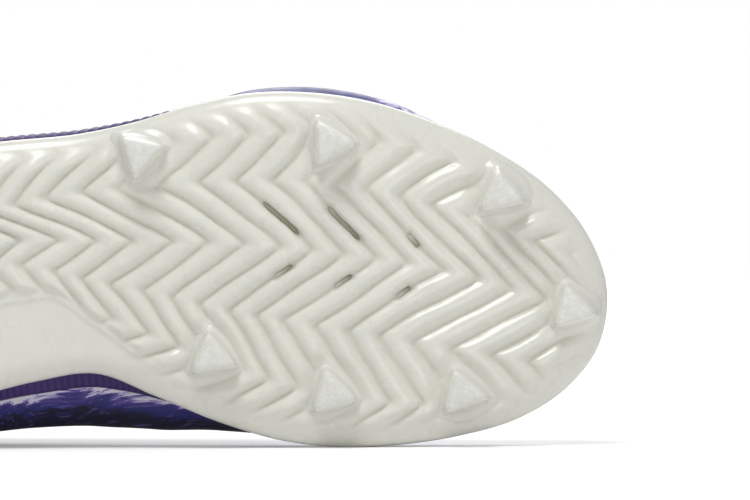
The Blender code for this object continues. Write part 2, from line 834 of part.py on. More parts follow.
def build_tongue(collection, material):
    """Padded tongue under the throat, from inside the vamp to past the top eyelets."""
    stations = [LENGTH * (TONGUE.x[0] + (TONGUE.x[-1] - TONGUE.x[0]) * i / 14) for i in range(15)]
    across = 8
    bm = bmesh.new()
    rings = []
    for x in stations:
        half = TONGUE_WIDTH / 2 * TONGUE.at("width", x / LENGTH)
        pad = TONGUE_THICKNESS * TONGUE.at("pad", x / LENGTH)
        outer, inner = [], []
        for i in range(across + 1):
            off = half * math.sin(math.pi / 2 * (2 * i / across - 1))
            point, normal = skin(x, off)
            thin = 0.35 + 0.65 * math.sqrt(max(0.0, 1 - (off / half) ** 2))
            outer.append(point - normal * (UPPER_WALL + 4 * CLEARANCE))
            inner.append(point - normal * (UPPER_WALL + 4 * CLEARANCE + pad * thin))
        rings.append([bm.verts.new(p) for p in outer + inner[::-1]])
    tube(bm, rings)
    return add_mesh("tongue", bm, collection, material)


def build_insole(collection, material):
    """Sock liner on the plate, inside the upper's wall."""
    inset = RIM_WALL + 5 * CLEARANCE + UPPER_WALL
    ring = outline(inset)
    bm = bmesh.new()
    low = [bm.verts.new((*p, plate_top(p.x) + CLEARANCE)) for p in ring]
    high = [bm.verts.new((*p, plate_top(p.x) + CLEARANCE + INSOLE_THICKNESS)) for p in ring]
    for i in range(len(ring)):
        k = (i + 1) % len(ring)
        bm.faces.new((low[i], high[i], high[k], low[k]))
    lines = cross_pieces(inset)
    fill_sheet(bm, low, ring, lines, lambda x: plate_top(x) + CLEARANCE, False)
    fill_sheet(bm, high, ring, lines, lambda x: plate_top(x) + CLEARANCE + INSOLE_THICKNESS, True)
    return add_mesh("insole", bm, collection, material)


def lace_run(name, start, end, collection, material, steps=8):
    """A flat lace from one eyelet to another, lying over the eyestays and the throat. Each end is
    given by its station and its signed distance from the spine."""
    bm = bmesh.new()
    places = []
    for i in range(steps + 1):
        t = i / steps
        x = start[0] + (end[0] - start[0]) * t
        off = start[1] + (end[1] - start[1]) * t
        point, normal = skin(x, off)
        places.append((point + normal * (CLEARANCE * 1.5), normal))
    rings = []
    for i, (point, normal) in enumerate(places):
        along = places[min(i + 1, steps)][0] - places[max(i - 1, 0)][0]
        across = normal.cross(along).normalized() * (LACE_WIDTH / 2)
        up = normal * LACE_THICKNESS
        low, high = point - across, point + across
        rings.append([bm.verts.new(p) for p in (low, high, high + up, low + up)])
    tube(bm, rings)
    return add_mesh(name, bm, collection, material)


def build_laces(collection, cutters, material):
    """A bar over the first pair of eyelets, then a cross over every two pairs. Between them the
    lace runs up inside, and it ends at the last pair."""
    stations = eyelet_stations()
    medial = [(x, eyelet_offset(x, 1)) for x in stations]
    lateral = [(x, eyelet_offset(x, -1)) for x in stations]
    laces = [lace_run("lace_bar", medial[0], lateral[0], collection, material)]
    for row in range(1, EYELET_ROWS - 1, 2):
        number = row // 2 + 1
        cross = lace_run(f"lace_cross_{number}", medial[row], lateral[row + 1], collection, material)
        other = lace_run(f"lace_other_{number}", lateral[row], medial[row + 1], cutters, None)
        other.hide_render = True
        other.display_type = "WIRE"
        join = cross.modifiers.new("crossing", "BOOLEAN")
        join.operation = "UNION"
        join.object = other
        laces.append(cross)
    return laces


# Laying the shoe down


def triangles_of(obj):
    """The corners of a finished object's triangles."""
    mesh = obj.evaluated_get(bpy.context.evaluated_depsgraph_get()).to_mesh()
    mesh.calc_loop_triangles()
    places = [v.co.copy() for v in mesh.vertices]
    return [[places[i] for i in triangle.vertices] for triangle in mesh.loop_triangles]


def middle_of(objects):
    """The centre of the objects' volume."""
    total, moment = 0.0, Vector()
    for obj in objects:
        for a, b, c in triangles_of(obj):
            volume = a.dot(b.cross(c)) / 6
            total += volume
            moment += (a + b + c) * (volume / 4)
    return moment / total


def lying_pose(objects):
    """The turn that lays the shoe on its medial side, with the toe towards +X and the sole facing
    -Y. Of the faces of its hull over which its middle stands, it is the most upright one."""
    middle = middle_of(objects)
    bm = bmesh.new()
    corners = {tuple(p) for obj in objects for triangle in triangles_of(obj) for p in triangle}
    for corner in sorted(corners):
        bm.verts.new(corner)
    bmesh.ops.convex_hull(bm, input=bm.verts)
    bmesh.ops.recalc_face_normals(bm, faces=bm.faces)

    def margin(face):
        """How far inside the face's edges the middle stands."""
        corners = [v.co for v in face.verts]
        return min(
            face.normal.cross(b - a).normalized().dot(middle - a)
            for a, b in zip(corners, corners[1:] + corners[:1])
        )

    side = [f for f in bm.faces if f.normal.y > 0.8]
    floor = min(side, key=lambda f: (margin(f) <= 0, abs(f.normal.z)))
    down = floor.normal.copy()
    bm.free()
    ahead = (Vector((1, 0, 0)) - down * down.x).normalized()
    return Matrix((ahead, -down.cross(ahead), -down)).to_4x4()


def centred(pose, objects):
    """The pose with its origin under the middle of the shoe's box, on the floor."""
    corners = [pose @ p for obj in objects for triangle in triangles_of(obj) for p in triangle]
    low = [min(c[i] for c in corners) for i in range(3)]
    high = [max(c[i] for c in corners) for i in range(3)]
    shift = Vector((-(low[0] + high[0]) / 2, -(low[1] + high[1]) / 2, -low[2]))
    return Matrix.Translation(shift) @ pose


def main():
    for obj in list(bpy.data.objects):
        bpy.data.objects.remove(obj)
    shoe = bpy.data.collections.new("football_cleat")
    cutters = bpy.data.collections.new("cutters")
    for collection in (shoe, cutters):
        bpy.context.scene.collection.children.link(collection)

    sole_white = make_material("sole_white", (0.72, 0.72, 0.66), 0.25)
    upper_white = make_material("upper_white", (0.75, 0.74, 0.80), 0.35)
    violet = make_material("violet", (0.07, 0.035, 0.20), 0.55)
    lining = make_material("lining", (0.05, 0.03, 0.13), 0.9)
    lace_violet = make_material("lace_violet", (0.09, 0.05, 0.25), 0.8)

    pieces = [
        build_outsole(shoe, sole_white),
        build_upper(shoe, cutters, upper_white),
        build_rand(shoe, violet),
        build_tongue(shoe, lining),
        build_insole(shoe, lining),
        *build_laces(shoe, cutters, lace_violet),
    ]
    bpy.context.view_layer.update()
    pose = centred(lying_pose(pieces), pieces)
    holder = bpy.data.objects.new("lying_shoe", None)
    shoe.objects.link(holder)
    holder.matrix_world = pose
    for obj in [*pieces, *cutters.objects]:
        obj.parent = holder
    bpy.context.view_layer.update()


main()
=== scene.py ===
"""Looks of the football cleat: a right shoe that lies on its medial side, its sole to the camera.

Like the part's source, the script works in the shoe's own frame: x from the back of the heel to the
toe, y towards the medial side and z up from the plane of the stud tips. LYING takes that frame to
the row frame. All lengths are in metres, and the tables hold shares of the named sizes.
"""

import math

import bmesh
import bpy
import numpy as np
from mathutils import Matrix, Vector


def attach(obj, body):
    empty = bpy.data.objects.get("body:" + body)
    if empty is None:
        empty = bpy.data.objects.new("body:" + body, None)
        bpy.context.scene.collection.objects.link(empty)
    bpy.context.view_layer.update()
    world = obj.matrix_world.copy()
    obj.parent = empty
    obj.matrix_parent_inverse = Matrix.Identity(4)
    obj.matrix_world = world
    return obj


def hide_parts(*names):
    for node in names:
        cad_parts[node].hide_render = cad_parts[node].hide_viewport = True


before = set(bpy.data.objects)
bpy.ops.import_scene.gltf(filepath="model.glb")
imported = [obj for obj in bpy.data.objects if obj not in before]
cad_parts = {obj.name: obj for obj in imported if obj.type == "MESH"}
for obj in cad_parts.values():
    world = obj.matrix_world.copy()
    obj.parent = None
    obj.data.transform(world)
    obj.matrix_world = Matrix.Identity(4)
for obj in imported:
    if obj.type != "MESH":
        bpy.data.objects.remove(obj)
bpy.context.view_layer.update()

# How the shoe lies: turned about the upright by YAW and about its own length by TILT
YAW = math.radians(4.4668)
TILT = math.radians(0.2441)
LYING_SHIFT = (-0.149415, -0.056903, 0.037279)

# Sizes of the part
LENGTH = 0.300
BALL_WIDTH = 0.107
INSTEP_HEIGHT = 0.082
COLLAR_HEIGHT = 0.064
THROAT_WIDTH = 0.044
CLEARANCE = 0.0003
PLATE_THICKNESS = 0.0035
SIDE_HEIGHT = 0.0070
RIM_WALL = 0.0018
RIM_CURVE = 0.0070
RIM_BOTTOM_LIFT = 0.0045
TOE_SPRING = 0.0135
ARCH_RISE = 0.0055
HEEL_LIFT = 0.0030
RIB_HEIGHT = 0.0021
TREAD_MARGIN = 0.0080
ARCH_PANEL = 0.0190
STUD_HEIGHT = 0.0105
STUD_DRAFT = 0.0026
UPPER_WALL = 0.0020
BELLY_HEIGHT = 0.0200
HEEL_CENTRE = 0.038
TOE_CENTRE = 0.040
THROAT_FRONT = 0.690
EYELET_ROWS = 7
EYELET_RADIUS = 0.0022
EYELET_INSET = 0.0075
EYELET_FIRST = 0.662
EYELET_LAST = 0.432
RAND_RISE = 0.0062
RAND_THICKNESS = 0.0012
TONGUE_THICKNESS = 0.0045
TONGUE_WIDTH = 0.062
INSOLE_THICKNESS = 0.0040
LACE_WIDTH = 0.0065
LACE_THICKNESS = 0.0016

# Finer shapes that only the looks have
STEP = 0.00072
ACROSS_STEPS = 150
SHEET_INSET = 0.0035
RIB_ROUNDNESS = 2.1
KINK_ROUNDING = 0.0010
RIM_FADE = (0.0030, 0.0105)
PANEL_FADE = (-0.0008, 0.0024)
PANEL_LIP = 0.0005
STUD_INNER_RADIUS = 0.0039
STUD_FLARE = 0.0032
STUD_POINTS = 72
STUD_SQUARENESS = 4.2
SLIT_HALF_WIDTH = 0.0007
SLIT_STEPS = 12
LINING_PAD = 0.0030
PAD_DEPTH = 0.030
LOWER_LEVELS = 14
UPPER_LEVELS = 44
ROLL_LEVELS = 6
FLEX_DEPTH = 0.00045
COUNTER_DEPTH = 0.00045
TOE_CAP_DEPTH = 0.0003
RIDGE_PITCH = 0.0021
ROPE_PITCH = 0.0032
RIDGE_DEPTH = 0.00035
STITCH_ROWS = (0.0034, 0.0118)
STITCH_PITCH = 0.0026
STITCH_LENGTH = 0.0018
STITCH_RADIUS = 0.00028
EYELET_RING = 0.0009
EYELET_RING_HEIGHT = 0.00055
CHANNEL_PITCH = 0.0085
CHANNEL_DEPTH = 0.0011
LACE_NECK = 0.0034
LACE_DIVE = 0.0062
LACE_PAST = 0.16

# Stage
ROOM_LIGHT = 0.42
FLOOR_SIZE = 6.0
FLOOR_GLOW = (0.25, 1.0)
FLOOR_GLOW_REACH = (0.25, 0.9)

# Camera
CAMERA_AIM = (0.2312, -0.0040, 0.0130)
CAMERA_ROLL = math.radians(4.8)
CAMERA_DISTANCE = 2.40
SENSOR_WIDTH = 36.0
VIEW_WIDTH = 0.225

# Lights: name, place, aim, size across and power
LIGHTS = (
    ("key", (-0.05, -0.45, 0.95), (0.05, -0.05, 0.05), 0.45, 4.6),
    ("front", (0.55, -1.3, 0.12), (0.05, -0.03, 0.05), 0.9, 3.3),
    ("back", (0.1, 0.8, 0.9), (0.0, 0.0, 0.05), 0.8, 4.5),
)


# Numbers


class Table:
    """A few rows of values along the shoe, with a smooth curve through each column."""

    def __init__(self, columns, rows):
        self.x = np.array([row[0] for row in rows], float)
        self.values = {
            name: np.array([row[i] for row in rows], float) for i, name in enumerate(columns, 1)
        }
        self.slopes = {name: self.slopes_of(values) for name, values in self.values.items()}

    def slopes_of(self, values):
        """Slopes at the rows that let no stretch between two rows overshoot them."""
        rises = np.diff(values) / np.diff(self.x)
        before, after = rises[:-1], rises[1:]
        total = np.where(before * after > 0, before + after, 1.0)
        inner = np.where(before * after > 0, 2 * before * after / total, 0.0)
        return np.concatenate((rises[:1], inner, rises[-1:]))

    def at(self, name, x):
        """The column's values at shares x of the length."""
        x = np.clip(x, self.x[0], self.x[-1])
        i = np.clip(np.searchsorted(self.x, x, side="right") - 1, 0, len(self.x) - 2)
        values, slopes = self.values[name], self.slopes[name]
        step = self.x[i + 1] - self.x[i]
        t = (x - self.x[i]) / step
        return (
            values[i] * (1 + 2 * t) * (1 - t) ** 2
            + slopes[i] * step * t * (1 - t) ** 2
            + values[i + 1] * t * t * (3 - 2 * t)
            - slopes[i + 1] * step * t * t * (1 - t)
        )


def smooth(low, high, x):
    """0 below low, 1 above high, and an even curve between."""
    t = np.clip((x - low) / (high - low), 0.0, 1.0)
    return t * t * (3 - 2 * t)


def bump(x, centre, width):
    """A soft hill of height 1."""
    return np.exp(-(((x - centre) / width) ** 2))


def unit(vectors):
    """Vectors made 1 long, along the last axis."""
    return vectors / np.maximum(np.linalg.norm(vectors, axis=-1, keepdims=True), 1e-12)


def run_of(path):
    """How far along a path each of its points lies."""
    return np.concatenate(((0.0,), np.cumsum(np.linalg.norm(np.diff(path, axis=0), axis=1))))


def turns(count):
    """Evenly spaced angles once round."""
    return np.arange(count) * 2 * math.pi / count


def rounded(share):
    """0 to 1 like share, with closer steps at both ends."""
    return (1 - np.cos(math.pi * share)) / 2


# Tables of the shoe

OUTLINE_HEEL = (0.0, 0.0)
OUTLINE_TOE = (1.0, 0.140)
OUTLINE_ROWS = (
    # x, medial, lateral
    (0.020, 0.170, -0.170),
    (0.070, 0.285, -0.290),
    (0.150, 0.355, -0.360),
    (0.250, 0.340, -0.402),
    (0.340, 0.293, -0.425),
    (0.420, 0.252, -0.430),
    (0.480, 0.243, -0.432),
    (0.540, 0.322, -0.452),
    (0.600, 0.407, -0.487),
    (0.660, 0.472, -0.506),
    (0.720, 0.506, -0.493),
    (0.780, 0.513, -0.453),
    (0.840, 0.502, -0.382),
    (0.900, 0.468, -0.285),
    (0.950, 0.397, -0.170),
    (0.985, 0.293, -0.030),
)

RISE = Table(
    ("toe", "arch", "heel"),
    (
        (0.00, 0.00, 0.00, 1.00),
        (0.05, 0.00, 0.00, 0.30),
        (0.12, 0.00, 0.00, 0.00),
        (0.28, 0.00, 0.15, 0.00),
        (0.38, 0.00, 0.75, 0.00),
        (0.46, 0.00, 1.00, 0.00),
        (0.56, 0.00, 0.60, 0.00),
        (0.66, 0.00, 0.08, 0.00),
        (0.74, 0.00, 0.00, 0.00),
        (0.82, 0.12, 0.00, 0.00),
        (0.90, 0.40, 0.00, 0.00),
        (0.96, 0.72, 0.00, 0.00),
        (1.00, 1.00, 0.00, 0.00),
    ),
)

ARCH = Table(
    ("panel",),
    ((0.22, 0.0), (0.32, 0.7), (0.38, 1.0), (0.44, 0.95), (0.48, 0.5), (0.53, 0.12), (0.60, 0.0)),
)

RIBS = Table(
    ("count",),
    (
        (0.000, 0.0),
        (0.200, 6.0),
        (0.417, 12.4),
        (0.674, 19.4),
        (0.800, 23.4),
        (0.900, 26.3),
        (0.952, 28.0),
        (1.000, 29.5),
    ),
)

KINKS = Table(
    ("y1", "y2", "y3", "y4", "y5", "back1", "back2", "back4", "back5"),
    (
        (0.00, -0.250, -0.130, 0.000, 0.130, 0.250, 0.00, -1.30, -1.30, -0.10),
        (0.20, -0.280, -0.160, -0.020, 0.120, 0.250, -0.20, -1.60, -1.50, -0.20),
        (0.30, -0.330, -0.200, -0.090, 0.010, 0.140, -0.50, -1.70, -1.20, -0.10),
        (0.40, -0.370, -0.245, -0.150, -0.080, -0.010, -0.80, -2.20, -1.10, -0.30),
        (0.50, -0.385, -0.267, -0.127, -0.005, 0.090, -0.80, -2.40, -1.70, -0.70),
        (0.60, -0.390, -0.265, -0.100, 0.080, 0.235, -0.70, -2.20, -2.50, -1.20),
        (0.70, -0.385, -0.247, -0.056, 0.158, 0.345, -0.60, -2.10, -3.20, -1.90),
        (0.80, -0.331, -0.180, 0.003, 0.226, 0.402, -0.50, -2.20, -3.10, -1.95),
        (0.90, -0.210, -0.068, 0.098, 0.300, 0.420, -0.30, -2.20, -2.80, -1.70),
        (1.00, -0.060, 0.070, 0.220, 0.370, 0.450, -0.10, -2.10, -2.70, -1.60),
    ),
)
KINK_MARGIN = 0.20
LATERAL_EDGE_BACK = 2.0
MEDIAL_EDGE_BACK = 3.2

STUDS = (
    # x, y, turn
    (0.545, -0.360, -13.0),
    (0.735, -0.345, 5.0),
    (0.901, -0.165, 25.0),
    (0.963, 0.174, 19.0),
    (0.846, 0.382, 16.0),
    (0.716, 0.352, 20.0),
    (0.600, 0.222, 27.0),
    (0.235, -0.262, 185.0),
    (0.090, -0.185, 165.0),
    (0.090, 0.185, 195.0),
    (0.235, 0.205, 175.0),
)

# Drain slits in the grooves
SLITS = (
    # groove, counted in ribs; y from and to, in metres; how dark the painted shadow is at the first end
    (20.5, -0.0210, -0.0106, 0.75),
    (22.5, -0.0180, -0.0075, 0.55),
    (24.5, -0.0078, -0.0039, 0.0),
    (20.5, 0.0013, -0.0015, 0.0),
    (22.5, 0.0058, 0.0030, 0.0),
    (24.5, 0.0103, 0.0080, 0.0),
)

LAST = Table(
    ("spine", "bulge_medial", "bulge_lateral", "ridge", "belly", "power"),
    (
        (0.00, 0.000, 0.036, 0.036, 1.42, 0.95, 2.1),
        (0.13, 0.000, 0.040, 0.032, 1.42, 0.95, 3.3),
        (0.25, -0.015, 0.079, 0.028, 1.36, 1.05, 3.3),
        (0.33, -0.028, 0.122, 0.026, 1.25, 1.15, 2.7),
        (0.42, -0.035, 0.163, 0.028, 1.00, 1.15, 2.1),
        (0.48, -0.033, 0.184, 0.028, 0.885, 1.15, 1.9),
        (0.54, -0.026, 0.130, 0.027, 0.790, 1.00, 1.85),
        (0.60, -0.016, 0.060, 0.026, 0.712, 0.90, 1.9),
        (0.66, -0.002, 0.022, 0.040, 0.650, 0.80, 1.95),
        (0.74, 0.020, 0.010, 0.048, 0.575, 0.70, 2.0),
        (0.80, 0.045, 0.010, 0.047, 0.520, 0.65, 2.1),
        (0.867, 0.075, 0.012, 0.030, 0.452, 0.60, 2.2),
        (0.93, 0.075, 0.016, 0.024, 0.452, 0.50, 2.3),
        (1.00, 0.075, 0.016, 0.016, 0.452, 0.42, 2.3),
    ),
)

COLLAR = Table(
    ("top", "throat"),
    (
        (0.000, 1.00, 1.00),
        (0.060, 0.98, 1.00),
        (0.130, 0.88, 1.00),
        (0.220, 0.795, 1.00),
        (0.300, 0.86, 1.00),
        (0.360, 1.04, 1.00),
        (0.420, 1.40, 1.00),
        (0.500, 1.90, 0.86),
        (0.600, 1.90, 0.68),
        (0.650, 1.90, 0.54),
        (0.676, 1.90, 0.34),
        (THROAT_FRONT, 1.90, 0.00),
    ),
)

# Height of the rand, a share of its rise, and how thick it is on the lateral side
RAND_FRONT = 0.600
RAND = Table(
    ("rise", "lateral"),
    (
        (0.00, 1.15, 1.0),
        (0.15, 1.10, 1.8),
        (0.30, 1.10, 2.3),
        (0.44, 1.15, 2.4),
        (0.49, 1.10, 2.3),
        (0.53, 0.80, 2.1),
        (0.57, 0.50, 1.8),
        (RAND_FRONT, 0.20, 1.0),
    ),
)

TONGUE = Table(
    ("width", "pad"),
    (
        (0.345, 0.86, 0.90),
        (0.365, 1.00, 1.00),
        (0.450, 0.97, 1.00),
        (0.580, 0.75, 0.75),
        (0.715, 0.52, 0.45),
    ),
)


# Where the shoe lies


def lying_matrix():
    """The shoe's frame in the row frame: medial side down, sole facing -Y, toe towards +X."""
    down = Vector((-math.sin(YAW), math.cos(YAW) * math.cos(TILT), math.sin(TILT)))
    ahead = (Vector((1, 0, 0)) - down * down.x).normalized()
    turn = Matrix((ahead, -down.cross(ahead), -down)).to_4x4()
    return Matrix.Translation(LYING_SHIFT) @ turn


LYING = lying_matrix()


def laid(points):
    """Points of the shoe's frame in the row frame."""
    turn = np.array(LYING.to_3x3())
    return np.asarray(points, float) @ turn.T + np.array(LYING_SHIFT)


# The sole in plan


def plate_bottom(x):
    share = np.asarray(x) / LENGTH
    return (
        STUD_HEIGHT
        + TOE_SPRING * RISE.at("toe", share)
        + ARCH_RISE * RISE.at("arch", share)
        + HEEL_LIFT * RISE.at("heel", share)
    )


def plate_top(x):
    return plate_bottom(x) + PLATE_THICKNESS


def slope_at(before, here, after):
    """Direction of a smooth curve at the middle one of three points, per unit of its length."""
    first, second = np.linalg.norm(here - before), np.linalg.norm(after - here)
    return ((here - before) * (second / first) + (after - here) * (first / second)) / (first + second)


def outline(inset=0.0, step=STEP):
    """The sole's edge in plan, moved inwards by inset: from the back of the heel along the medial
    side to the toe, and back along the lateral side, with as many points on one side as the other."""
    corners = [OUTLINE_HEEL]
    corners += [(x, medial) for x, medial, _ in OUTLINE_ROWS]
    corners += [OUTLINE_TOE]
    corners += [(x, lateral) for x, _, lateral in reversed(OUTLINE_ROWS)]
    knots = np.array(corners) * (LENGTH, BALL_WIDTH)
    count = len(knots)
    spans = np.linalg.norm(np.roll(knots, -1, axis=0) - knots, axis=1)
    ring = []
    for i in range(count):
        before, start, end, after = (knots[(i + k) % count] for k in (-1, 0, 1, 2))
        leave = slope_at(before, start, end) * spans[i]
        arrive = slope_at(start, end, after) * spans[i]
        steps = max(4, round(float(spans[i] + spans[count - 1 - i]) / 2 / step))
        for t in np.arange(steps) / steps:
            ring.append(
                start * ((1 + 2 * t) * (1 - t) ** 2)
                + leave * (t * (1 - t) ** 2)
                + end * (t * t * (3 - 2 * t))
                - arrive * (t * t * (1 - t))
            )
    ring = np.array(ring)
    along = unit(np.roll(ring, -1, axis=0) - np.roll(ring, 1, axis=0))
    return ring + np.stack((along[:, 1], -along[:, 0]), axis=1) * inset


def sheet_between(inset, step, shares):
    """The sole's edge moved inwards, and points at shares of the way from its lateral side to its
    medial side, one row for each station along the shoe."""
    ring = outline(inset, step)
    half = len(ring) // 2
    medial = ring[: half + 1]
    lateral = np.concatenate((ring[:1], ring[half:][::-1]))
    return ring, lateral[:, None, :] + (medial - lateral)[:, None, :] * shares[None, :, None]


def sheet_edge(rows, columns):
    """Numbers of the points round the edge of such a sheet, in the order of its outline."""
    medial = np.arange(rows) * columns + columns - 1
    lateral = np.arange(rows - 2, 0, -1) * columns
    return np.concatenate((medial, lateral))


def reach(ring, origins, directions):
    """Distance from points inside a ring to the ring, each along its own unit direction."""
    start = ring[None, :, :]
    along = np.roll(ring, -1, axis=0)[None, :, :] - start
    gap = start - origins[:, None, :]
    way = directions[:, None, :]
    cross = way[..., 0] * along[..., 1] - way[..., 1] * along[..., 0]
    cross = np.where(np.abs(cross) < 1e-15, 1e-15, cross)
    distance = (gap[..., 0] * along[..., 1] - gap[..., 1] * along[..., 0]) / cross
    share = (gap[..., 0] * way[..., 1] - gap[..., 1] * way[..., 0]) / cross
    hit = (distance > 0) & (share >= -1e-9) & (share <= 1 + 1e-9)
    return np.where(hit, distance, 0.0).max(axis=1)


def depth_inside(points, ring):
    """Distance from each point to the nearest stretch of a ring."""
    ends = np.roll(ring, -1, axis=0)
    along = ends - ring
    square = (along**2).sum(axis=1)
    nearest = np.full(len(points), np.inf)
    for start, way, length in zip(ring, along, square):
        t = np.clip(((points - start) @ way) / length, 0.0, 1.0)
        gap = points - start - t[:, None] * way
        nearest = np.minimum(nearest, (gap**2).sum(axis=1))
    return np.sqrt(nearest)


def rim_lift(depth):
    """How far the plate's underside curls up towards its edge, at a depth inside that edge."""
    share = np.clip(1 - depth / RIM_CURVE, 0.0, 1.0)
    return RIM_BOTTOM_LIFT * (1 - np.sqrt(1 - share * share))


# Herringbone


def ribs_behind(x, y):
    """How far behind the middle line's rib a point lies, in ribs."""
    share = x / LENGTH
    lines = [
        (KINKS.at("y1", share), KINKS.at("back1", share)),
        (KINKS.at("y2", share), KINKS.at("back2", share)),
        (KINKS.at("y3", share), np.zeros_like(share)),
        (KINKS.at("y4", share), KINKS.at("back4", share)),
        (KINKS.at("y5", share), KINKS.at("back5", share)),
    ]
    first = (lines[0][0] - KINK_MARGIN, lines[0][1] - LATERAL_EDGE_BACK)
    last = (lines[-1][0] + KINK_MARGIN, lines[-1][1] - MEDIAL_EDGE_BACK)
    lines = [first, *lines, last]
    back = np.where(y < lines[0][0] * BALL_WIDTH, lines[0][1], lines[-1][1])
    for (low, low_back), (high, high_back) in zip(lines, lines[1:]):
        low, high = low * BALL_WIDTH, high * BALL_WIDTH
        t = (y - low) / (high - low)
        back = np.where((t >= 0) & (t <= 1), low_back + (high_back - low_back) * t, back)
    return back


def sway(x, y):
    """Small unevenness of the moulding, about a twentieth of a rib."""
    slow = 0.045 * np.sin(210 * x + 95 * y + 1.0)
    return slow + 0.04 * np.sin(140 * x - 260 * y) * np.cos(90 * x + 340 * y)


def rib_phase(x, y):
    """Where a point lies in the row of ribs: a whole number on a rib's middle. The turns are
    rounded."""
    inside = np.clip(x / LENGTH, 0.0, 1.0)
    count = RIBS.at("count", inside) + (x / LENGTH - inside) * RIBS.values["count"][-1]
    shares = ((-1.0, 0.2), (-0.5, 0.2), (0.0, 0.2), (0.5, 0.2), (1.0, 0.2))
    back = sum(ribs_behind(x, y + side * KINK_ROUNDING) * weight for side, weight in shares)
    return count - back + sway(x, y)


def panel_depth(x, y):
    """How far a point lies from the smooth panel at the arch, and how much of a panel there is."""
    ring = outline(TREAD_MARGIN, 0.003)
    medial = ring[: len(ring) // 2 + 1]
    order = np.argsort(medial[:, 0])
    panel = ARCH.at("panel", x / LENGTH)
    edge = np.interp(x, medial[order, 0], medial[order, 1]) - ARCH_PANEL * panel
    return (edge - y) * 0.92, smooth(0.0, 0.25, panel)


def slit_path(slit):
    """Points along a groove, from one end of a slit in it to the other."""
    groove, y_from, y_to, _ = slit
    x = np.arange(0.15 * LENGTH, 0.95 * LENGTH, 0.0002)
    path = []
    for y in np.linspace(y_from, y_to, SLIT_STEPS):
        path.append((np.interp(groove, rib_phase(x, np.full_like(x, y)), x), y))
    return np.array(path)


def stud_centre(stud):
    return np.array((stud[0] * LENGTH, stud[1] * BALL_WIDTH))


def stud_radius(stud, angles, inner):
    """Radius of a triangle with rounded corners, in each direction."""
    normals = [math.radians(stud[2] + 60 + 120 * k) for k in range(3)]
    total = sum(np.clip(np.cos(angles - normal), 0.0, 1.0) ** STUD_SQUARENESS for normal in normals)
    return inner / total ** (1 / STUD_SQUARENESS)


def tread(x, y, depth):
    """How far the tread stands out from the plate, and how far down a point is in a groove, 0 to 1,
    which masks the painted shade in the grooves.
    """
    off_middle = 2 * np.abs((rib_phase(x, y) + 0.5) % 1.0 - 0.5)
    rib = 1 - off_middle**RIB_ROUNDNESS
    from_panel, panel = panel_depth(x, y)
    inside = smooth(*RIM_FADE, depth) * (1 - panel * (1 - smooth(*PANEL_FADE, from_panel)))
    height = RIB_HEIGHT * (1 + 2.0 * sway(y, x)) * rib * inside
    height = height + PANEL_LIP * panel * bump(from_panel, -0.0012, 0.0011)
    # How far down in a groove: the mask of the painted shade in the grooves
    groove = smooth(0.45, 1.0, off_middle) * inside
    points = np.stack((x, y), axis=1)
    for stud in STUDS:
        away = points - stud_centre(stud)
        angles = np.arctan2(away[:, 1], away[:, 0])
        foot = stud_radius(stud, angles, STUD_INNER_RADIUS) + STUD_DRAFT
        near = 1 - smooth(0.0, STUD_FLARE * 1.6, np.hypot(*away.T) - foot)
        height = height * (1 - 0.55 * near)
        groove = groove * (1 - 0.6 * near)
    for slit in SLITS:
        path = slit_path(slit)
        gap = np.linalg.norm(points[:, None, :] - path[None, :, :], axis=2).min(axis=1)
        pit = 1 - smooth(SLIT_HALF_WIDTH * 0.8, SLIT_HALF_WIDTH * 2.4, gap)
        height = height * (1 - pit) - 0.0003 * pit
    return height, groove


# Meshes


def add_mesh(name, points, faces, material, attributes=None):
    """An object from points of the shoe's frame, with a number or a vector on each point for the
    materials to read."""
    mesh = bpy.data.meshes.new(name)
    mesh.from_pydata(laid(points).tolist(), [], faces)
    for key, values in (attributes or {}).items():
        values = np.asarray(values, np.float32)
        kind = "FLOAT" if values.ndim == 1 else "FLOAT_VECTOR"
        layer = mesh.attributes.new(key, kind, "POINT")
        layer.data.foreach_set("value" if values.ndim == 1 else "vector", values.ravel())
    mesh.validate()
    mesh.update()
    mesh.shade_smooth()
    mesh.materials.append(material)
    obj = bpy.data.objects.new(name, mesh)
    bpy.context.scene.collection.objects.link(obj)
    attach(obj, "root")
    return obj


def grid_faces(rows, columns, closed_rows=False, closed_columns=False, start=0):
    """Faces between neighbours of a grid of points, numbered row by row from start."""
    made = []
    for r in range(rows if closed_rows else rows - 1):
        after = (r + 1) % rows
        for c in range(columns if closed_columns else columns - 1):
            k = (c + 1) % columns
            here, there = start + r * columns, start + after * columns
            made.append((here + c, here + k, there + k, there + c))
    return made


def tube_faces(count, section):
    """Faces of closed sections one after another, with a cap at each end."""
    made = grid_faces(count, section, closed_columns=True)
    made.append(tuple(reversed(range(section))))
    made.append(tuple((count - 1) * section + i for i in range(section)))
    return made


def merge(obj, distance):
    """Joins points that lie on one another and turns the faces outwards."""
    bm = bmesh.new()
    bm.from_mesh(obj.data)
    bmesh.ops.remove_doubles(bm, verts=bm.verts, dist=distance)
    bmesh.ops.recalc_face_normals(bm, faces=bm.faces)
    bm.to_mesh(obj.data)
    bm.free()
    obj.data.update()


# Materials

# Painted shade: the darker, more olive colour put down in the grooves
GROOVE_SHADE_COLOUR = (0.715, 0.705, 0.61)
STROKE_SLANT = 0.42
PRINT = (
    # ink, colour: pale, lilac, violet, blue, blue, navy
    (0.36, (0.76, 0.745, 0.84)),
    (0.41, (0.50, 0.46, 0.74)),
    (0.45, (0.105, 0.06, 0.30)),
    (0.56, (0.028, 0.030, 0.185)),
    (0.66, (0.028, 0.030, 0.185)),
    (0.80, (0.008, 0.008, 0.034)),
)
TRANSLUCENT = {
    "subsurface_weight": 0.12,
    "subsurface_radius": (0.004, 0.0035, 0.0025),
    "subsurface_scale": 0.5,
}


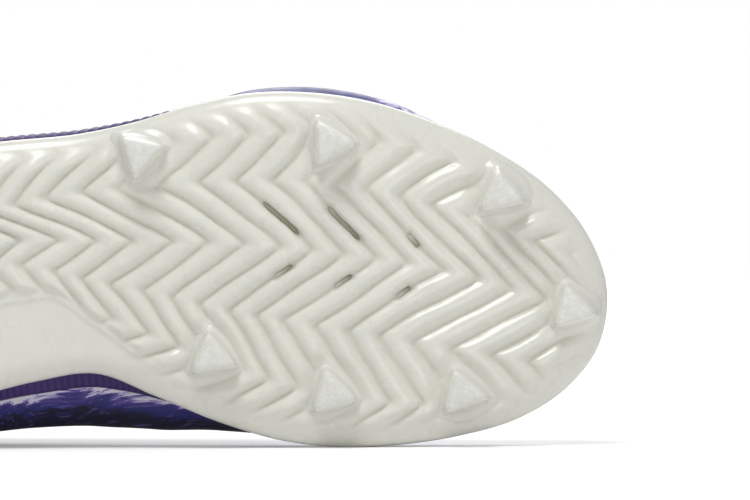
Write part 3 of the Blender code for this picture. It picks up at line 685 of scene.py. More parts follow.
class Shader:
    """A material's nodes, with short ways to add and link them."""

    def __init__(self, name, **values):
        self.material = bpy.data.materials.new(name)
        self.material.use_nodes = True
        self.tree = self.material.node_tree
        self.base = self.tree.nodes["Principled BSDF"]
        for key, value in values.items():
            self.base.inputs[key.replace("_", " ").title()].default_value = value

    def node(self, kind, values=None, **settings):
        """A node with its settings and, by name or number, its input values or links."""
        made = self.tree.nodes.new("ShaderNode" + kind)
        for key, value in settings.items():
            setattr(made, key, value)
        for key, value in (values or {}).items():
            if isinstance(value, bpy.types.NodeSocket):
                self.tree.links.new(value, made.inputs[key])
            else:
                made.inputs[key].default_value = value
        return made

    def attribute(self, name, output="Fac"):
        return self.node("Attribute", attribute_name=name).outputs[output]

    def math(self, operation, a, b=0.0, c=0.0, clamp=False):
        made = self.node("Math", {0: a, 1: b, 2: c}, operation=operation, use_clamp=clamp)
        return made.outputs[0]

    def noise(self, scale, detail=3.0, vector=None, roughness=0.5, distortion=0.0):
        values = {"Scale": scale, "Detail": detail, "Roughness": roughness, "Distortion": distortion}
        if vector is not None:
            values["Vector"] = vector
        else:
            values["Vector"] = self.node("TexCoord").outputs["Object"]
        return self.node("TexNoise", values).outputs["Fac"]

    def ramp(self, factor, stops, interpolation="LINEAR"):
        made = self.node("ValToRGB", {"Fac": factor})
        made.color_ramp.interpolation = interpolation
        elements = made.color_ramp.elements
        while len(elements) < len(stops):
            elements.new(0.5)
        for element, (place, colour) in zip(elements, stops):
            element.position = place
            element.color = (*(colour if isinstance(colour, tuple) else (colour,) * 3), 1.0)
        return made.outputs["Color"]

    def noisy(self, low, high, scale, detail=3.0):
        """A colour or number that wanders between two stops with a noise."""
        return self.ramp(self.noise(scale, detail), (low, high))

    def mix(self, factor, a, b):
        made = self.node("Mix", {"Factor": factor}, data_type="RGBA")
        for index, value in ((6, a), (7, b)):
            if isinstance(value, bpy.types.NodeSocket):
                self.tree.links.new(value, made.inputs[index])
            else:
                made.inputs[index].default_value = (*value, 1.0)
        return made.outputs[2]

    def mapped(self, vector, scale, turn=0.0):
        """A vector turned in its own plane and then scaled."""
        values = {"Vector": vector, "Angle": turn}
        turned = self.node("VectorRotate", values, rotation_type="Z_AXIS").outputs[0]
        return self.node("VectorMath", {0: turned, 1: scale}, operation="MULTIPLY").outputs[0]

    def bump(self, *layers):
        """Bumps on top of one another, each a height and how deep it goes in metres."""
        normal = None
        for height, depth in layers:
            values = {"Height": height, "Distance": depth, "Strength": 1.0}
            if normal is not None:
                values["Normal"] = normal
            normal = self.node("Bump", values).outputs[0]
        self.tree.links.new(normal, self.base.inputs["Normal"])

    def set(self, name, socket):
        self.tree.links.new(socket, self.base.inputs[name])


def sole_material():
    """Glossy off-white moulded plastic, with painted shade down in the grooves: a darker, more olive
    colour.
    """
    s = Shader("sole_plastic", roughness=0.28, coat_weight=0.30, coat_roughness=0.15, **TRANSLUCENT)
    tone = s.noisy((0.3, (0.775, 0.772, 0.705)), (0.7, (0.745, 0.745, 0.68)), 38.0)
    # Painted shade in the grooves, masked by how far down a point is in a groove
    deep = s.ramp(s.attribute("groove"), ((0.15, 0.0), (1.0, 1.0)))
    s.set("Base Color", s.mix(deep, tone, GROOVE_SHADE_COLOUR))
    s.set("Roughness", s.noisy((0.35, 0.24), (0.75, 0.38), 160.0, 4.0))
    s.bump((s.noise(90.0, 2.0), 0.00018), (s.noise(900.0, 2.0), 0.000015))
    return s.material


def stud_material():
    """The sole's plastic, with white scuffed grain on the tips, and a lighter band just below each
    tip's rim that is partly scuffing and partly a painted highlight.
    """
    s = Shader("stud_plastic", roughness=0.25, coat_weight=0.3, coat_roughness=0.1, **TRANSLUCENT)
    tip = s.attribute("tip")
    grain = s.noise(1500.0, 3.0, roughness=0.7)
    broad = s.noise(420.0, 3.0)
    both = s.math("MULTIPLY_ADD", grain, 0.6, s.math("MULTIPLY", broad, 0.4))
    speck = s.ramp(both, ((0.42, 0.0), (0.60, 1.0)))
    # The lighter band below each tip's rim: partly scuffing, partly a painted highlight
    edge = s.math("MULTIPLY", s.attribute("edge"), broad)
    scuff_and_highlight = s.math("MAXIMUM", s.math("MULTIPLY", tip, speck), edge)
    s.set("Base Color", s.mix(scuff_and_highlight, (0.76, 0.757, 0.695), (0.86, 0.862, 0.83)))
    s.set("Roughness", s.math("MULTIPLY_ADD", tip, 0.25, 0.27))
    s.bump((s.math("MULTIPLY", speck, tip), 0.00012), (s.noise(90.0, 2.0), 0.0001))
    return s.material


def slit_material():
    """Painted shadow in a slit, brown olive, that fades into the grooves' painted shade colour at its
    faint end.
    """
    s = Shader("slit_shadow", roughness=0.55)
    shadow = s.noisy((0.3, (0.23, 0.215, 0.145)), (0.7, (0.31, 0.29, 0.20)), 300.0)
    s.set("Base Color", s.mix(s.attribute("dark"), GROOVE_SHADE_COLOUR, shadow))
    return s.material


def upper_material():
    """Coated pale skin with a printed pattern of ragged brush strokes, violet to near black."""
    s = Shader("printed_skin", roughness=0.4, coat_weight=0.25, coat_roughness=0.25)
    sheet = s.attribute("sheet", "Vector")
    swoop = s.math("MULTIPLY", s.noise(14.0, 2.0, sheet, distortion=0.3), 0.05)
    aside = s.node("CombineXYZ", {"Y": swoop}).outputs[0]
    bent = s.node("VectorMath", {0: sheet, 1: aside}).outputs[0]

    def strokes(along, across, detail, roughness=0.5):
        return s.noise(1.0, detail, s.mapped(bent, (along, across, across), STROKE_SLANT), roughness)

    broad = strokes(38.0, 330.0, 5.0, 0.62)
    bristles = strokes(90.0, 1500.0, 3.0, 0.7)
    uneven = s.math("MULTIPLY_ADD", bristles, 0.22, -0.11)
    ink = s.math("ADD", s.math("MULTIPLY_ADD", broad, 0.95, -0.475), uneven)
    ink = s.math("ADD", ink, s.attribute("ink"), clamp=True)
    colour = s.ramp(ink, PRINT)
    streaks = s.ramp(strokes(60.0, 900.0, 2.0), ((0.60, 0.0), (0.68, 0.45)))
    streaked = s.mix(streaks, colour, (0.20, 0.15, 0.52))
    s.set("Base Color", s.mix(s.ramp(ink, ((0.36, 1.0), (0.44, 0.0))), streaked, colour))
    s.set("Roughness", s.noisy((0.3, 0.32), (0.7, 0.48), 220.0))
    grain = s.mapped(s.attribute("skin", "Vector"), (1.0, 1.35, 1.0))
    knit = s.node("TexVoronoi", {"Vector": grain, "Scale": 1150.0}).outputs["Distance"]
    s.bump((s.noise(60.0, 3.0), 0.0004), (knit, 0.00007), (bristles, 0.00003))
    return s.material


def knit_material(name, dark, light, scale, depth=0.00022):
    """Knitted or woven textile: rows of small loops with a soft sheen."""
    s = Shader(name, roughness=0.85, sheen_weight=0.35, sheen_roughness=0.5)
    cloth = {"Vector": s.attribute("skin", "Vector"), "Distortion": 0.6}
    across = s.node("TexWave", {**cloth, "Scale": scale, "Detail": 1.0}).outputs["Fac"]
    along = s.node("TexWave", {**cloth, "Scale": scale * 0.8}, bands_direction="Y").outputs["Fac"]
    loops = s.math("MULTIPLY", across, along)
    fuzz = s.noise(700.0, 3.0)
    both = s.math("MULTIPLY_ADD", loops, 0.6, s.math("MULTIPLY", fuzz, 0.4))
    s.set("Base Color", s.ramp(both, ((0.15, dark), (0.8, light))))
    s.bump((loops, depth), (fuzz, 0.00008))
    return s.material


def rand_material():
    """Dark violet rubber, a little lighter on its ridges."""
    s = Shader("rand_rubber", roughness=0.5)
    body = s.noisy((0.3, (0.026, 0.012, 0.085)), (0.7, (0.044, 0.022, 0.130)), 60.0)
    # Lighter colour on the ridge tops
    ridge_lightening = s.math("MULTIPLY", s.attribute("ridge"), 0.55)
    s.set("Base Color", s.mix(ridge_lightening, body, (0.085, 0.048, 0.21)))
    s.set("Roughness", s.noisy((0.3, 0.38), (0.7, 0.58), 200.0))
    s.bump((s.noise(1200.0, 2.0), 0.00003))
    return s.material


def thread_material(name, dark, light):
    s = Shader(name, roughness=0.7, sheen_weight=0.3)
    s.set("Base Color", s.noisy((0.3, dark), (0.7, light), 2500.0, 2.0))
    s.bump((s.noise(3000.0, 2.0), 0.00005))
    return s.material


def ring_material():
    s = Shader("eyelet_plastic", roughness=0.35)
    s.set("Base Color", s.noisy((0.3, (0.05, 0.035, 0.14)), (0.7, (0.075, 0.05, 0.19)), 300.0))
    s.bump((s.noise(900.0, 2.0), 0.00002))
    return s.material


# Sole


def build_sole():
    """The plate with its rounded ribs, its rim rolled over the edge and its inner face, closed."""
    across = ACROSS_STEPS + 1
    ring, sheet = sheet_between(SHEET_INSET, STEP, np.linspace(0.0, 1.0, across))
    columns = len(sheet)
    half = columns - 1
    flat = sheet.reshape(-1, 2)
    edge = outline(0.0, 0.002)
    depth = depth_inside(flat, edge)
    height, groove = tread(flat[:, 0], flat[:, 1], depth)
    lower = plate_bottom(flat[:, 0]) + rim_lift(depth) - height
    points = [np.column_stack((flat, lower))]
    # Painted shade in the grooves, none on the rim
    shades = [groove]
    faces = grid_faces(columns, across)

    # Each loop round the rim: how far inside the edge, and how high over the plate's underside
    low, high = RIM_BOTTOM_LIFT, SIDE_HEIGHT
    side = high - low
    shares = (0.86, 0.72, 0.58, 0.45, 0.33, 0.22, 0.13, 0.06, 0.015)
    loops = [(share * SHEET_INSET, rim_lift(share * SHEET_INSET)) for share in shares]
    loops += [(0.0, low), (0.0, low + side * 0.45), (0.00012, low + side * 0.75)]
    loops += [(RIM_WALL * 0.25, high - 0.0002), (RIM_WALL * 0.5, high), (RIM_WALL * 0.8, high)]
    loops += [(RIM_WALL, high - 0.0004), (RIM_WALL, PLATE_THICKNESS)]
    ring_depth = depth_inside(ring, edge)
    ring_height, _ = tread(ring[:, 0], ring[:, 1], ring_depth)
    ring_off = ring_height + rim_lift(SHEET_INSET) - rim_lift(ring_depth)
    before = sheet_edge(columns, across)
    total = len(flat)
    for inset, lift in loops:
        here = outline(inset)
        remains = (inset / SHEET_INSET) ** 2 if lift < low else 0.0
        base = plate_bottom(here[:, 0]) + lift - remains * ring_off
        points.append(np.column_stack((here, base)))
        shades.append(np.zeros(len(here)))
        now = total + np.arange(len(here))
        for i in range(len(here)):
            k = (i + 1) % len(here)
            faces.append((int(before[i]), int(before[k]), int(now[k]), int(now[i])))
        before = now
        total += len(here)
    for i in range(half):
        corners = (before[i], before[i + 1], before[-i - 1], before[-i % len(before)])
        corners = [int(v) for v in dict.fromkeys(corners)]
        if len(corners) > 2:
            faces.append(tuple(corners))
    marks = {"groove": np.concatenate(shades)}
    sole = add_mesh("sole_plate", np.concatenate(points), faces, sole_material(), marks)
    merge(sole, 1e-6)
    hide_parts("outsole")


def stud_profile():
    """Rings of a stud from the middle of its tip to its foot: share of the tip's radius, growth past
    it, and share of the way from the tip to the plate."""
    made = [(0.25, 0.0, 0.0), (0.5, 0.0, 0.002), (0.66, 0.0, 0.008), (0.78, 0.0, 0.02)]
    made += [(0.87, 0.0, 0.04), (0.93, 0.0, 0.065), (0.975, 0.0, 0.10), (1.0, 0.0001, 0.145)]
    made += [(1.0, STUD_DRAFT * 0.75 * way, way) for way in np.linspace(0.21, 0.78, 7)]
    foot = STUD_DRAFT * 0.6
    for s in np.linspace(0.15, 1.0, 7):
        flare = STUD_FLARE * (1 - math.sqrt(1 - s * s)) + 0.0003 * s
        made.append((1.0, foot + flare, 0.78 + 0.22 * s))
    return made + [(1.0, foot + STUD_FLARE + 0.0008, 1.12)]


def build_studs():
    """Low studs with rounded corners, flaring into the plate, with rough flat tips."""
    edge = outline(RIM_WALL, 0.002)
    angles = turns(STUD_POINTS)
    ways = np.stack((np.cos(angles), np.sin(angles)), axis=1)
    material = stud_material()
    for number, stud in enumerate(STUDS, 1):
        centre = stud_centre(stud)
        tip = max(0.0, float(plate_bottom(centre[0])) - STUD_HEIGHT)
        radius = stud_radius(stud, angles, STUD_INNER_RADIUS)
        limit = reach(edge, np.tile(centre, (STUD_POINTS, 1)), ways)
        rings, rough, edge_scuff_and_highlight = [], [], []
        for share, growth, way_down in stud_profile():
            flat = centre + ways * np.minimum(radius * share + growth, limit)[:, None]
            base = plate_bottom(flat[:, 0]) + rim_lift(depth_inside(flat, outline(0.0, 0.003)))
            rings.append(np.column_stack((flat, tip + (base - tip) * way_down)))
            rough += [max(0.0, 1 - max(0.0, way_down - 0.02) * 6)] * STUD_POINTS
            # A band just below the tip's rim, painted lighter: partly scuffing, partly a painted
            # highlight
            edge_scuff_and_highlight += [1.3 * float(bump(way_down, 0.11, 0.07))] * STUD_POINTS
        middle = len(rings) * STUD_POINTS
        points = np.vstack((*rings, (*centre, tip)))
        faces = grid_faces(len(rings), STUD_POINTS, closed_columns=True)
        faces += [(middle, i, (i + 1) % STUD_POINTS) for i in range(STUD_POINTS)]
        faces.append(tuple(range(middle - STUD_POINTS, middle)))
        marks = {"tip": rough + [1.0], "edge": edge_scuff_and_highlight + [0.0]}
        merge(add_mesh(f"stud_{number:02d}", points, faces, material, marks), 1e-7)


def build_slits():
    """Dark capsules low in the grooves, one for each drain slit, that carry its painted shadow."""
    points, faces, shades = [], [], []
    for slit in SLITS:
        path = slit_path(slit)
        along = unit(np.gradient(path, axis=0))
        side = np.stack((-along[:, 1], along[:, 0]), axis=1)
        share = np.linspace(0.0, 1.0, SLIT_STEPS)
        half = SLIT_HALF_WIDTH * np.sqrt(np.clip(1 - np.abs(2 * share - 1) ** 8, 0.02, 1.0))[:, None]
        rim = np.concatenate((path + side * half, (path - side * half)[::-1]))
        shade = slit[3] + (1 - slit[3]) * share
        first = len(points)
        count = len(rim)
        for sink in (0.00015, -0.0012):
            points += [(*p, float(plate_bottom(p[0])) - sink) for p in rim]
            shades += list(np.concatenate((shade, shade[::-1])))
        faces += grid_faces(2, count, closed_columns=True, start=first)
        for level in (first, first + count):
            last = level + count - 1
            faces += [(level + i, level + i + 1, last - i - 1, last - i) for i in range(SLIT_STEPS - 1)]
    merge(add_mesh("drain_slits", points, faces, slit_material(), {"dark": shades}), 1e-7)


# Upper


class Spokes:
    """Upright sections through the last, each from a centre under the ridge out to one side."""

    def __init__(self, centres, directions):
        self.centre = np.asarray(centres, float)
        self.direction = np.asarray(directions, float)
        ring = outline(RIM_WALL + 2 * CLEARANCE, 0.002)
        self.foot = reach(ring, self.centre, self.direction)
        foot_x = self.centre[:, 0] + self.direction[:, 0] * self.foot
        share = foot_x / LENGTH
        medial = (1 + self.direction[:, 1]) / 2
        bulge = medial * LAST.at("bulge_medial", share) + (1 - medial) * LAST.at("bulge_lateral", share)
        self.foot_share = share
        self.widest = self.foot + bulge * BALL_WIDTH
        self.power = LAST.at("power", share)
        self.floor = plate_top(foot_x) + CLEARANCE
        self.rim = plate_bottom(foot_x) + SIDE_HEIGHT + CLEARANCE
        self.belly = self.floor + BELLY_HEIGHT * LAST.at("belly", share)
        self.centre_share = self.centre[:, 0] / LENGTH
        self.ridge = plate_top(self.centre[:, 0]) + INSTEP_HEIGHT * LAST.at("ridge", self.centre_share)
        self.half_throat = COLLAR.at("throat", self.centre_share) * THROAT_WIDTH / 2
        self.closed = self.centre_share >= THROAT_FRONT - 1e-6
        collar = self.floor + COLLAR_HEIGHT * COLLAR.at("top", share)
        rise = np.clip((collar - self.belly) / (self.ridge - self.belly), 0.0, 1.0)
        by_collar = np.arcsin(rise ** (self.power / 2))
        by_throat = np.arccos(np.minimum(self.half_throat / self.widest, 1.0) ** (self.power / 2))
        self.top_angle = np.where(self.closed, math.pi / 2, np.minimum(by_collar, by_throat))

    def place(self, out, height):
        flat = self.centre + self.direction * out[:, None]
        return np.column_stack((flat, height))

    def low(self, height):
        t = np.clip((height - self.rim) / (self.belly - self.rim), 0.0, 1.0)
        return self.place(self.foot + (self.widest - self.foot) * (1 - np.cos(math.pi * t)) / 2, height)

    def high(self, angle):
        out = self.widest * np.clip(np.cos(angle), 0.0, 1.0) ** (2 / self.power)
        out = np.where(angle > math.pi / 2 - 1e-9, 0.0, out)
        rise = np.sin(angle) ** (2 / self.power)
        return self.place(out, self.belly + (self.ridge - self.belly) * rise)

    def wall(self):
        """Points of the outer skin, one row for each section, from the foot up."""
        rows = [self.place(self.foot, self.floor)]
        for i in range(LOWER_LEVELS):
            rows.append(self.low(self.rim + (self.belly - self.rim) * i / LOWER_LEVELS))
        for i in range(UPPER_LEVELS + 1):
            rows.append(self.high(self.top_angle * i / UPPER_LEVELS))
        return np.stack(rows, axis=1)


def spine_at(x):
    x = np.asarray(x, float)
    return np.stack((x, LAST.at("spine", x / LENGTH) * BALL_WIDTH), axis=-1)


def fan(centre, first, last, steps):
    angles = np.radians(np.linspace(first, last, steps + 1))
    return np.tile(centre, (steps + 1, 1)), np.stack((np.cos(angles), np.sin(angles)), axis=1)


def all_spokes(heel_steps=26, toe_steps=30, collar_steps=120, vamp_steps=34):
    """Every section of the upper, round the shoe from the back of the heel by the medial side."""
    heel, toe = spine_at(HEEL_CENTRE), spine_at(LENGTH - TOE_CENTRE)
    front = THROAT_FRONT * LENGTH
    share = np.arange(1, collar_steps) / collar_steps
    stations = HEEL_CENTRE + (front - HEEL_CENTRE) * (1 - (1 - share) ** 1.25)
    vamp = front + (LENGTH - TOE_CENTRE - front) * np.arange(vamp_steps) / vamp_steps
    middle = spine_at(np.concatenate((stations, vamp)))
    out = np.zeros_like(middle)
    out[:, 1] = 1
    parts = [
        fan(heel, 180, 90, heel_steps),
        (middle, out),
        fan(toe, 90, -90, 2 * toe_steps),
        (middle[::-1], -out),
        tuple(a[:-1] for a in fan(heel, -90, -180, heel_steps)),
    ]
    return Spokes(np.concatenate([p[0] for p in parts]), np.concatenate([p[1] for p in parts]))


def normals_of(wall):
    """Outward normals of a grid of points, rows round the shoe and columns up the wall."""
    around = np.roll(wall, -1, axis=0) - np.roll(wall, 1, axis=0)
    up = np.gradient(wall, axis=1)
    return unit(np.cross(up, around))


def skin(x, off):
    """Points of the outer skin over the instep, off the spine by signed distances, and normals."""
    x, off = np.broadcast_arrays(np.asarray(x, float), np.asarray(off, float))

    def height(at_x, at_off):
        shape = at_x.shape
        centres = spine_at(at_x.ravel())
        side = np.where(at_off.ravel() >= 0, 1.0, -1.0)
        spokes = Spokes(centres, np.stack((np.zeros_like(side), side), axis=1))
        share = np.minimum(np.abs(at_off.ravel()) / spokes.widest, 1.0)
        rise = (1 - share**spokes.power) ** (1 / spokes.power)
        return (spokes.belly + (spokes.ridge - spokes.belly) * rise).reshape(shape)

    step = 0.001
    spine = spine_at(x)
    drift = (spine_at(x + step)[..., 1] - spine_at(x - step)[..., 1]) / (2 * step)
    along = (height(x + step, off) - height(x - step, off)) / (2 * step)
    across = (height(x, off + step) - height(x, off - step)) / (2 * step)
    normal = unit(np.stack((-along + across * drift, -across, np.ones_like(along)), axis=-1))
    point = np.stack((x, spine[..., 1] + off, height(x, off)), axis=-1)
    return point, normal


def eyelet_stations():
    return LENGTH * np.linspace(EYELET_FIRST, EYELET_LAST, EYELET_ROWS)


def eyelet_offset(x, side):
    half_throat = COLLAR.at("throat", x / LENGTH) * THROAT_WIDTH / 2
    _, normal = skin(x, side * (half_throat + EYELET_INSET / 2))
    return float(side * (half_throat + EYELET_INSET * normal[..., 2]))


def lengths_up(wall):
    """How far up the wall each of its points lies, along the skin from the foot."""
    steps = np.linalg.norm(np.diff(wall, axis=1), axis=2)
    return np.concatenate((np.zeros((len(wall), 1)), np.cumsum(steps, axis=1)), axis=1)


def skin_marks(spokes, wall):
    """On each point of the wall: its place along and up the skin, and how much ink it gets."""
    rise = lengths_up(wall)
    rise = rise - rise[:, 1:2]
    run = np.repeat(run_of(wall[:, LOWER_LEVELS, :2])[:, None], rise.shape[1], axis=1)
    marks = np.stack((run, rise, np.zeros_like(rise)), axis=2)
    x = wall[..., 0] / LENGTH
    aside = (wall[..., 1] - spokes.centre[:, 1:]) / spokes.widest[:, None]
    medial = smooth(-0.7, 0.7, aside)
    rand_top = RAND_RISE * RAND.at("rise", spokes.foot_share) * (spokes.foot_share < RAND_FRONT)
    from_rand = (wall[..., 2] - (spokes.rim + rand_top)[:, None]) * 1.3
    heel = 0.28 + 0.44 * smooth(0.0004, 0.0075, from_rand) + 0.30 * smooth(0.0045, 0.0150, from_rand)
    toe_medial = 0.62 - 0.18 * smooth(0.58, 0.70, x) - 0.34 * smooth(0.68, 0.90, x)
    toe_lateral = 0.60 - 0.24 * smooth(0.755, 0.81, x) - 0.26 * smooth(0.82, 0.95, x)
    front = medial * toe_medial + (1 - medial) * toe_lateral + 0.08 * smooth(0.03, 0.06, rise)
    ahead = smooth(0.46, 0.62, x) * (1 - medial) + smooth(0.57, 0.68, x) * medial
    return marks, heel * (1 - ahead) + front * ahead


def flexed(spokes, wall, normal):
    """The skin with soft flex lines over the ball, and all but the heel counter and the toe cap
    sunk a little, so that these two stand out."""
    x = wall[..., 0] / LENGTH
    reach_up = np.maximum(spokes.ridge - spokes.belly, 1e-6)[:, None]
    height = (wall[..., 2] - spokes.belly[:, None]) / reach_up
    aside = spokes.direction[:, 1][:, None]
    over = smooth(0.15, 0.75, height)
    bent = x + 0.03 * aside * (1 - height)
    lines = sum(bump(bent, c, 0.008) for c in (0.735, 0.772, 0.806))
    lines -= 0.6 * sum(bump(bent, c, 0.012) for c in (0.753, 0.790))
    off_counter = smooth(0.225, 0.235, x - 0.05 * height) * smooth(0.0, 0.2, height + 0.3)
    off_cap = smooth(0.876, 0.868, x + 0.03 * np.abs(aside) * height)
    sink = FLEX_DEPTH * (lines + 0.65) * over + COUNTER_DEPTH * off_counter + TOE_CAP_DEPTH * off_cap
    sink[:, :2] = 0.0
    return wall - normal * sink[..., None]


def build_upper():
    """The one-piece upper: printed skin outside, rolled edge, knitted lining with a padded collar."""
    spokes = all_spokes()
    wall = spokes.wall()
    normal = normals_of(wall)
    # Where sections meet at one point the normal is that of the ridge
    closed = spokes.closed
    normal[closed, -1] = (0.0, 0.0, 1.0)
    marks, ink = skin_marks(spokes, wall)
    sheet = wall[..., (0, 2, 1)]
    outer = flexed(spokes, wall, normal)
    count, levels = wall.shape[:2]

    from_edge = marks[:, -1:, 1] - marks[..., 1]
    collar = (1 - smooth(0.27, 0.35, spokes.centre_share))[:, None]
    crown = np.sin(math.pi * np.clip(from_edge / PAD_DEPTH, 0.0, 1.0)) ** 1.5
    thick = UPPER_WALL + LINING_PAD * crown * collar
    thick = thick + 0.0006 * collar * (1 - smooth(0.0, 0.012, from_edge))
    inner = wall - normal * thick[..., None]
    inner[:, 0, 2] = wall[:, 0, 2]
    printed = upper_material()
    lining = knit_material("lining_knit", (0.020, 0.014, 0.055), (0.075, 0.050, 0.17), 210.0)

    # The roll over the edge and the lining run on as one surface from the skin's top edge
    out, back = outer[:, -1], inner[:, -1]
    middle = (out + back) / 2
    up = unit(out - outer[:, -3])
    half = np.linalg.norm(out - back, axis=1) / 2
    lift = half * np.clip(spokes.half_throat / 0.002, 0.0, 1.0) * ~closed
    angles = math.pi * np.arange(ROLL_LEVELS + 1) / ROLL_LEVELS
    rows = [middle + (out - middle) * math.cos(a) + up * (lift * math.sin(a))[:, None] for a in angles]
    roll_faces = []
    for r in range(count):
        after = (r + 1) % count
        if closed[r] and closed[after]:
            continue
        for c in range(ROLL_LEVELS):
            a, b = r * (ROLL_LEVELS + 1) + c, after * (ROLL_LEVELS + 1) + c
            roll_faces.append((a, a + 1, b + 1, b))
    roll_marks = np.repeat(marks[:, -1:], ROLL_LEVELS + 1, axis=1)
    roll_marks[..., 1] += np.arange(ROLL_LEVELS + 1) * 0.0006
    lining_faces = [face[::-1] for face in grid_faces(count, levels, closed_rows=True)]
    foot = count * levels
    for r in range(count):
        after = (r + 1) % count
        lining_faces.append((r * levels, after * levels, foot + after, foot + r))

    def with_foot(values):
        """The values of the whole wall, and once more those at its foot."""
        return np.concatenate((values.reshape(foot, -1), values[:, 0].reshape(count, -1))).squeeze()

    # Where the pieces' points are merged, ink and place have to be the same on both
    skin_points = (outer.reshape(-1, 3), marks.reshape(-1, 3), sheet.reshape(-1, 3), ink.ravel())
    roll_points = (
        np.stack(rows, axis=1).reshape(-1, 3),
        roll_marks.reshape(-1, 3),
        np.repeat(sheet[:, -1], ROLL_LEVELS + 1, axis=0),
        np.repeat(ink[:, -1], ROLL_LEVELS + 1),
    )
    lining_points = (
        np.concatenate((inner.reshape(-1, 3), wall[:, 0])),
        with_foot(marks),
        with_foot(sheet),
        with_foot(ink),
    )
    skin_faces = grid_faces(count, levels, closed_rows=True)
    made = []
    for name, values, faces, material in (
        ("upper_skin", skin_points, skin_faces, printed),
        ("collar_edge", roll_points, roll_faces, lining),
        ("upper_lining", lining_points, lining_faces, lining),
    ):
        layers = dict(zip(("skin", "sheet", "ink"), values[1:]))
        made.append(add_mesh(name, values[0], faces, material, layers))

    bpy.ops.object.select_all(action="DESELECT")
    for obj in made:
        obj.select_set(True)
    shell = made[0]
    bpy.context.view_layer.objects.active = shell
    bpy.ops.object.join()
    bpy.ops.object.select_all(action="DESELECT")
    merge(shell, 2e-6)
    cut_eyelets(shell)
    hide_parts("upper")


def cut_eyelets(shell):
    """Round holes through skin and lining for the lace."""
    bm = bmesh.new()
    for x in eyelet_stations():
        for side in (1, -1):
            point, normal = skin(x, eyelet_offset(x, side))
            place = LYING @ Vector(point)
            way = LYING.to_3x3() @ Vector(normal)
            turn = Vector((0, 0, 1)).rotation_difference(way).to_matrix().to_4x4()
            bmesh.ops.create_cone(
                bm,
                cap_ends=True,
                segments=32,
                radius1=EYELET_RADIUS,
                radius2=EYELET_RADIUS,
                depth=6 * UPPER_WALL,
                matrix=Matrix.Translation(place) @ turn,
            )
    mesh = bpy.data.meshes.new("eyelet_cutter")
    bm.to_mesh(mesh)
    bm.free()
    cutter = bpy.data.objects.new("eyelet_cutter", mesh)
    bpy.context.scene.collection.objects.link(cutter)
    cut = shell.modifiers.new("eyelets", "BOOLEAN")
    cut.operation = "DIFFERENCE"
    cut.solver = "EXACT"
    cut.object = cutter
    bpy.context.view_layer.objects.active = shell
    bpy.ops.object.modifier_apply(modifier=cut.name)
    bpy.data.objects.remove(cutter)


def build_eyelet_rings():
    """A low moulded ring round each eyelet."""
    around, section = 36, 10
    points, faces = [], []
    for x in eyelet_stations():
        for side in (1, -1):
            point, normal = (v.reshape(3) for v in skin(x, eyelet_offset(x, side)))
            first = unit(np.cross(normal, (1.0, 0.0, 0.0)))
            second = np.cross(normal, first)
            start = len(points)
            for a in turns(around):
                way = first * math.cos(a) + second * math.sin(a)
                for b in turns(section):
                    out = EYELET_RADIUS + 0.0006 + EYELET_RING * math.cos(b)
                    rise = 0.0001 + EYELET_RING_HEIGHT * math.sin(b)
                    points.append(point + way * out + normal * rise)
            faces += grid_faces(around, section, True, True, start)
    add_mesh("eyelet_rings", points, faces, ring_material())


def build_stitches():
    """A row of short stitches all along the top edge, and a second one beside the throat."""
    points, faces = [], []
    spokes = all_spokes()
    wall = spokes.wall()
    normal = normals_of(wall)
    length = lengths_up(wall)
    for distance in STITCH_ROWS:
        for side in (1, -1):
            chosen = ~spokes.closed & (spokes.direction[:, 1] * side > 0.02)
            if distance > STITCH_ROWS[0]:
                chosen &= spokes.centre_share > 0.40
            path, ups = [], []
            for i in np.flatnonzero(chosen):
                at = length[i, -1] - distance
                path.append([np.interp(at, length[i], wall[i, :, k]) for k in range(3)])
                ups.append([np.interp(at, length[i], normal[i, :, k]) for k in range(3)])
            add_stitches(points, faces, np.array(path), np.array(ups))
    thread = thread_material("stitch_thread", (0.16, 0.11, 0.36), (0.26, 0.19, 0.50))
    add_mesh("stitches", points, faces, thread)


def add_stitches(points, faces, path, ups):
    """Short rounded threads one after another along a path on the skin."""
    rings, section = 6, 8
    run = run_of(path)
    for start in np.arange(0.0, run[-1] - STITCH_LENGTH, STITCH_PITCH):
        at = start + STITCH_LENGTH * np.linspace(0.0, 1.0, rings)
        centre = np.stack([np.interp(at, run, path[:, k]) for k in range(3)], axis=1)
        up = np.stack([np.interp(at, run, ups[:, k]) for k in range(3)], axis=1)
        side = unit(np.cross(unit(centre[-1] - centre[0]), up[2]))
        first = len(points)
        for i in range(rings):
            share = i / (rings - 1) * 2 - 1
            thick = STITCH_RADIUS * math.sqrt(max(0.08, 1 - share**4))
            lift = 0.00012 - 0.00018 * share**4
            for a in turns(section):
                rise = math.sin(a) * thick * 0.8 + lift
                points.append(centre[i] + side * math.cos(a) * thick + up[i] * rise)
        faces += grid_faces(rings, section, closed_columns=True, start=first)
        last = first + (rings - 1) * section
        faces.append(tuple(range(first, first + section)))
        faces.append(tuple(reversed(range(last, last + section))))


# Rand, tongue, insole, laces


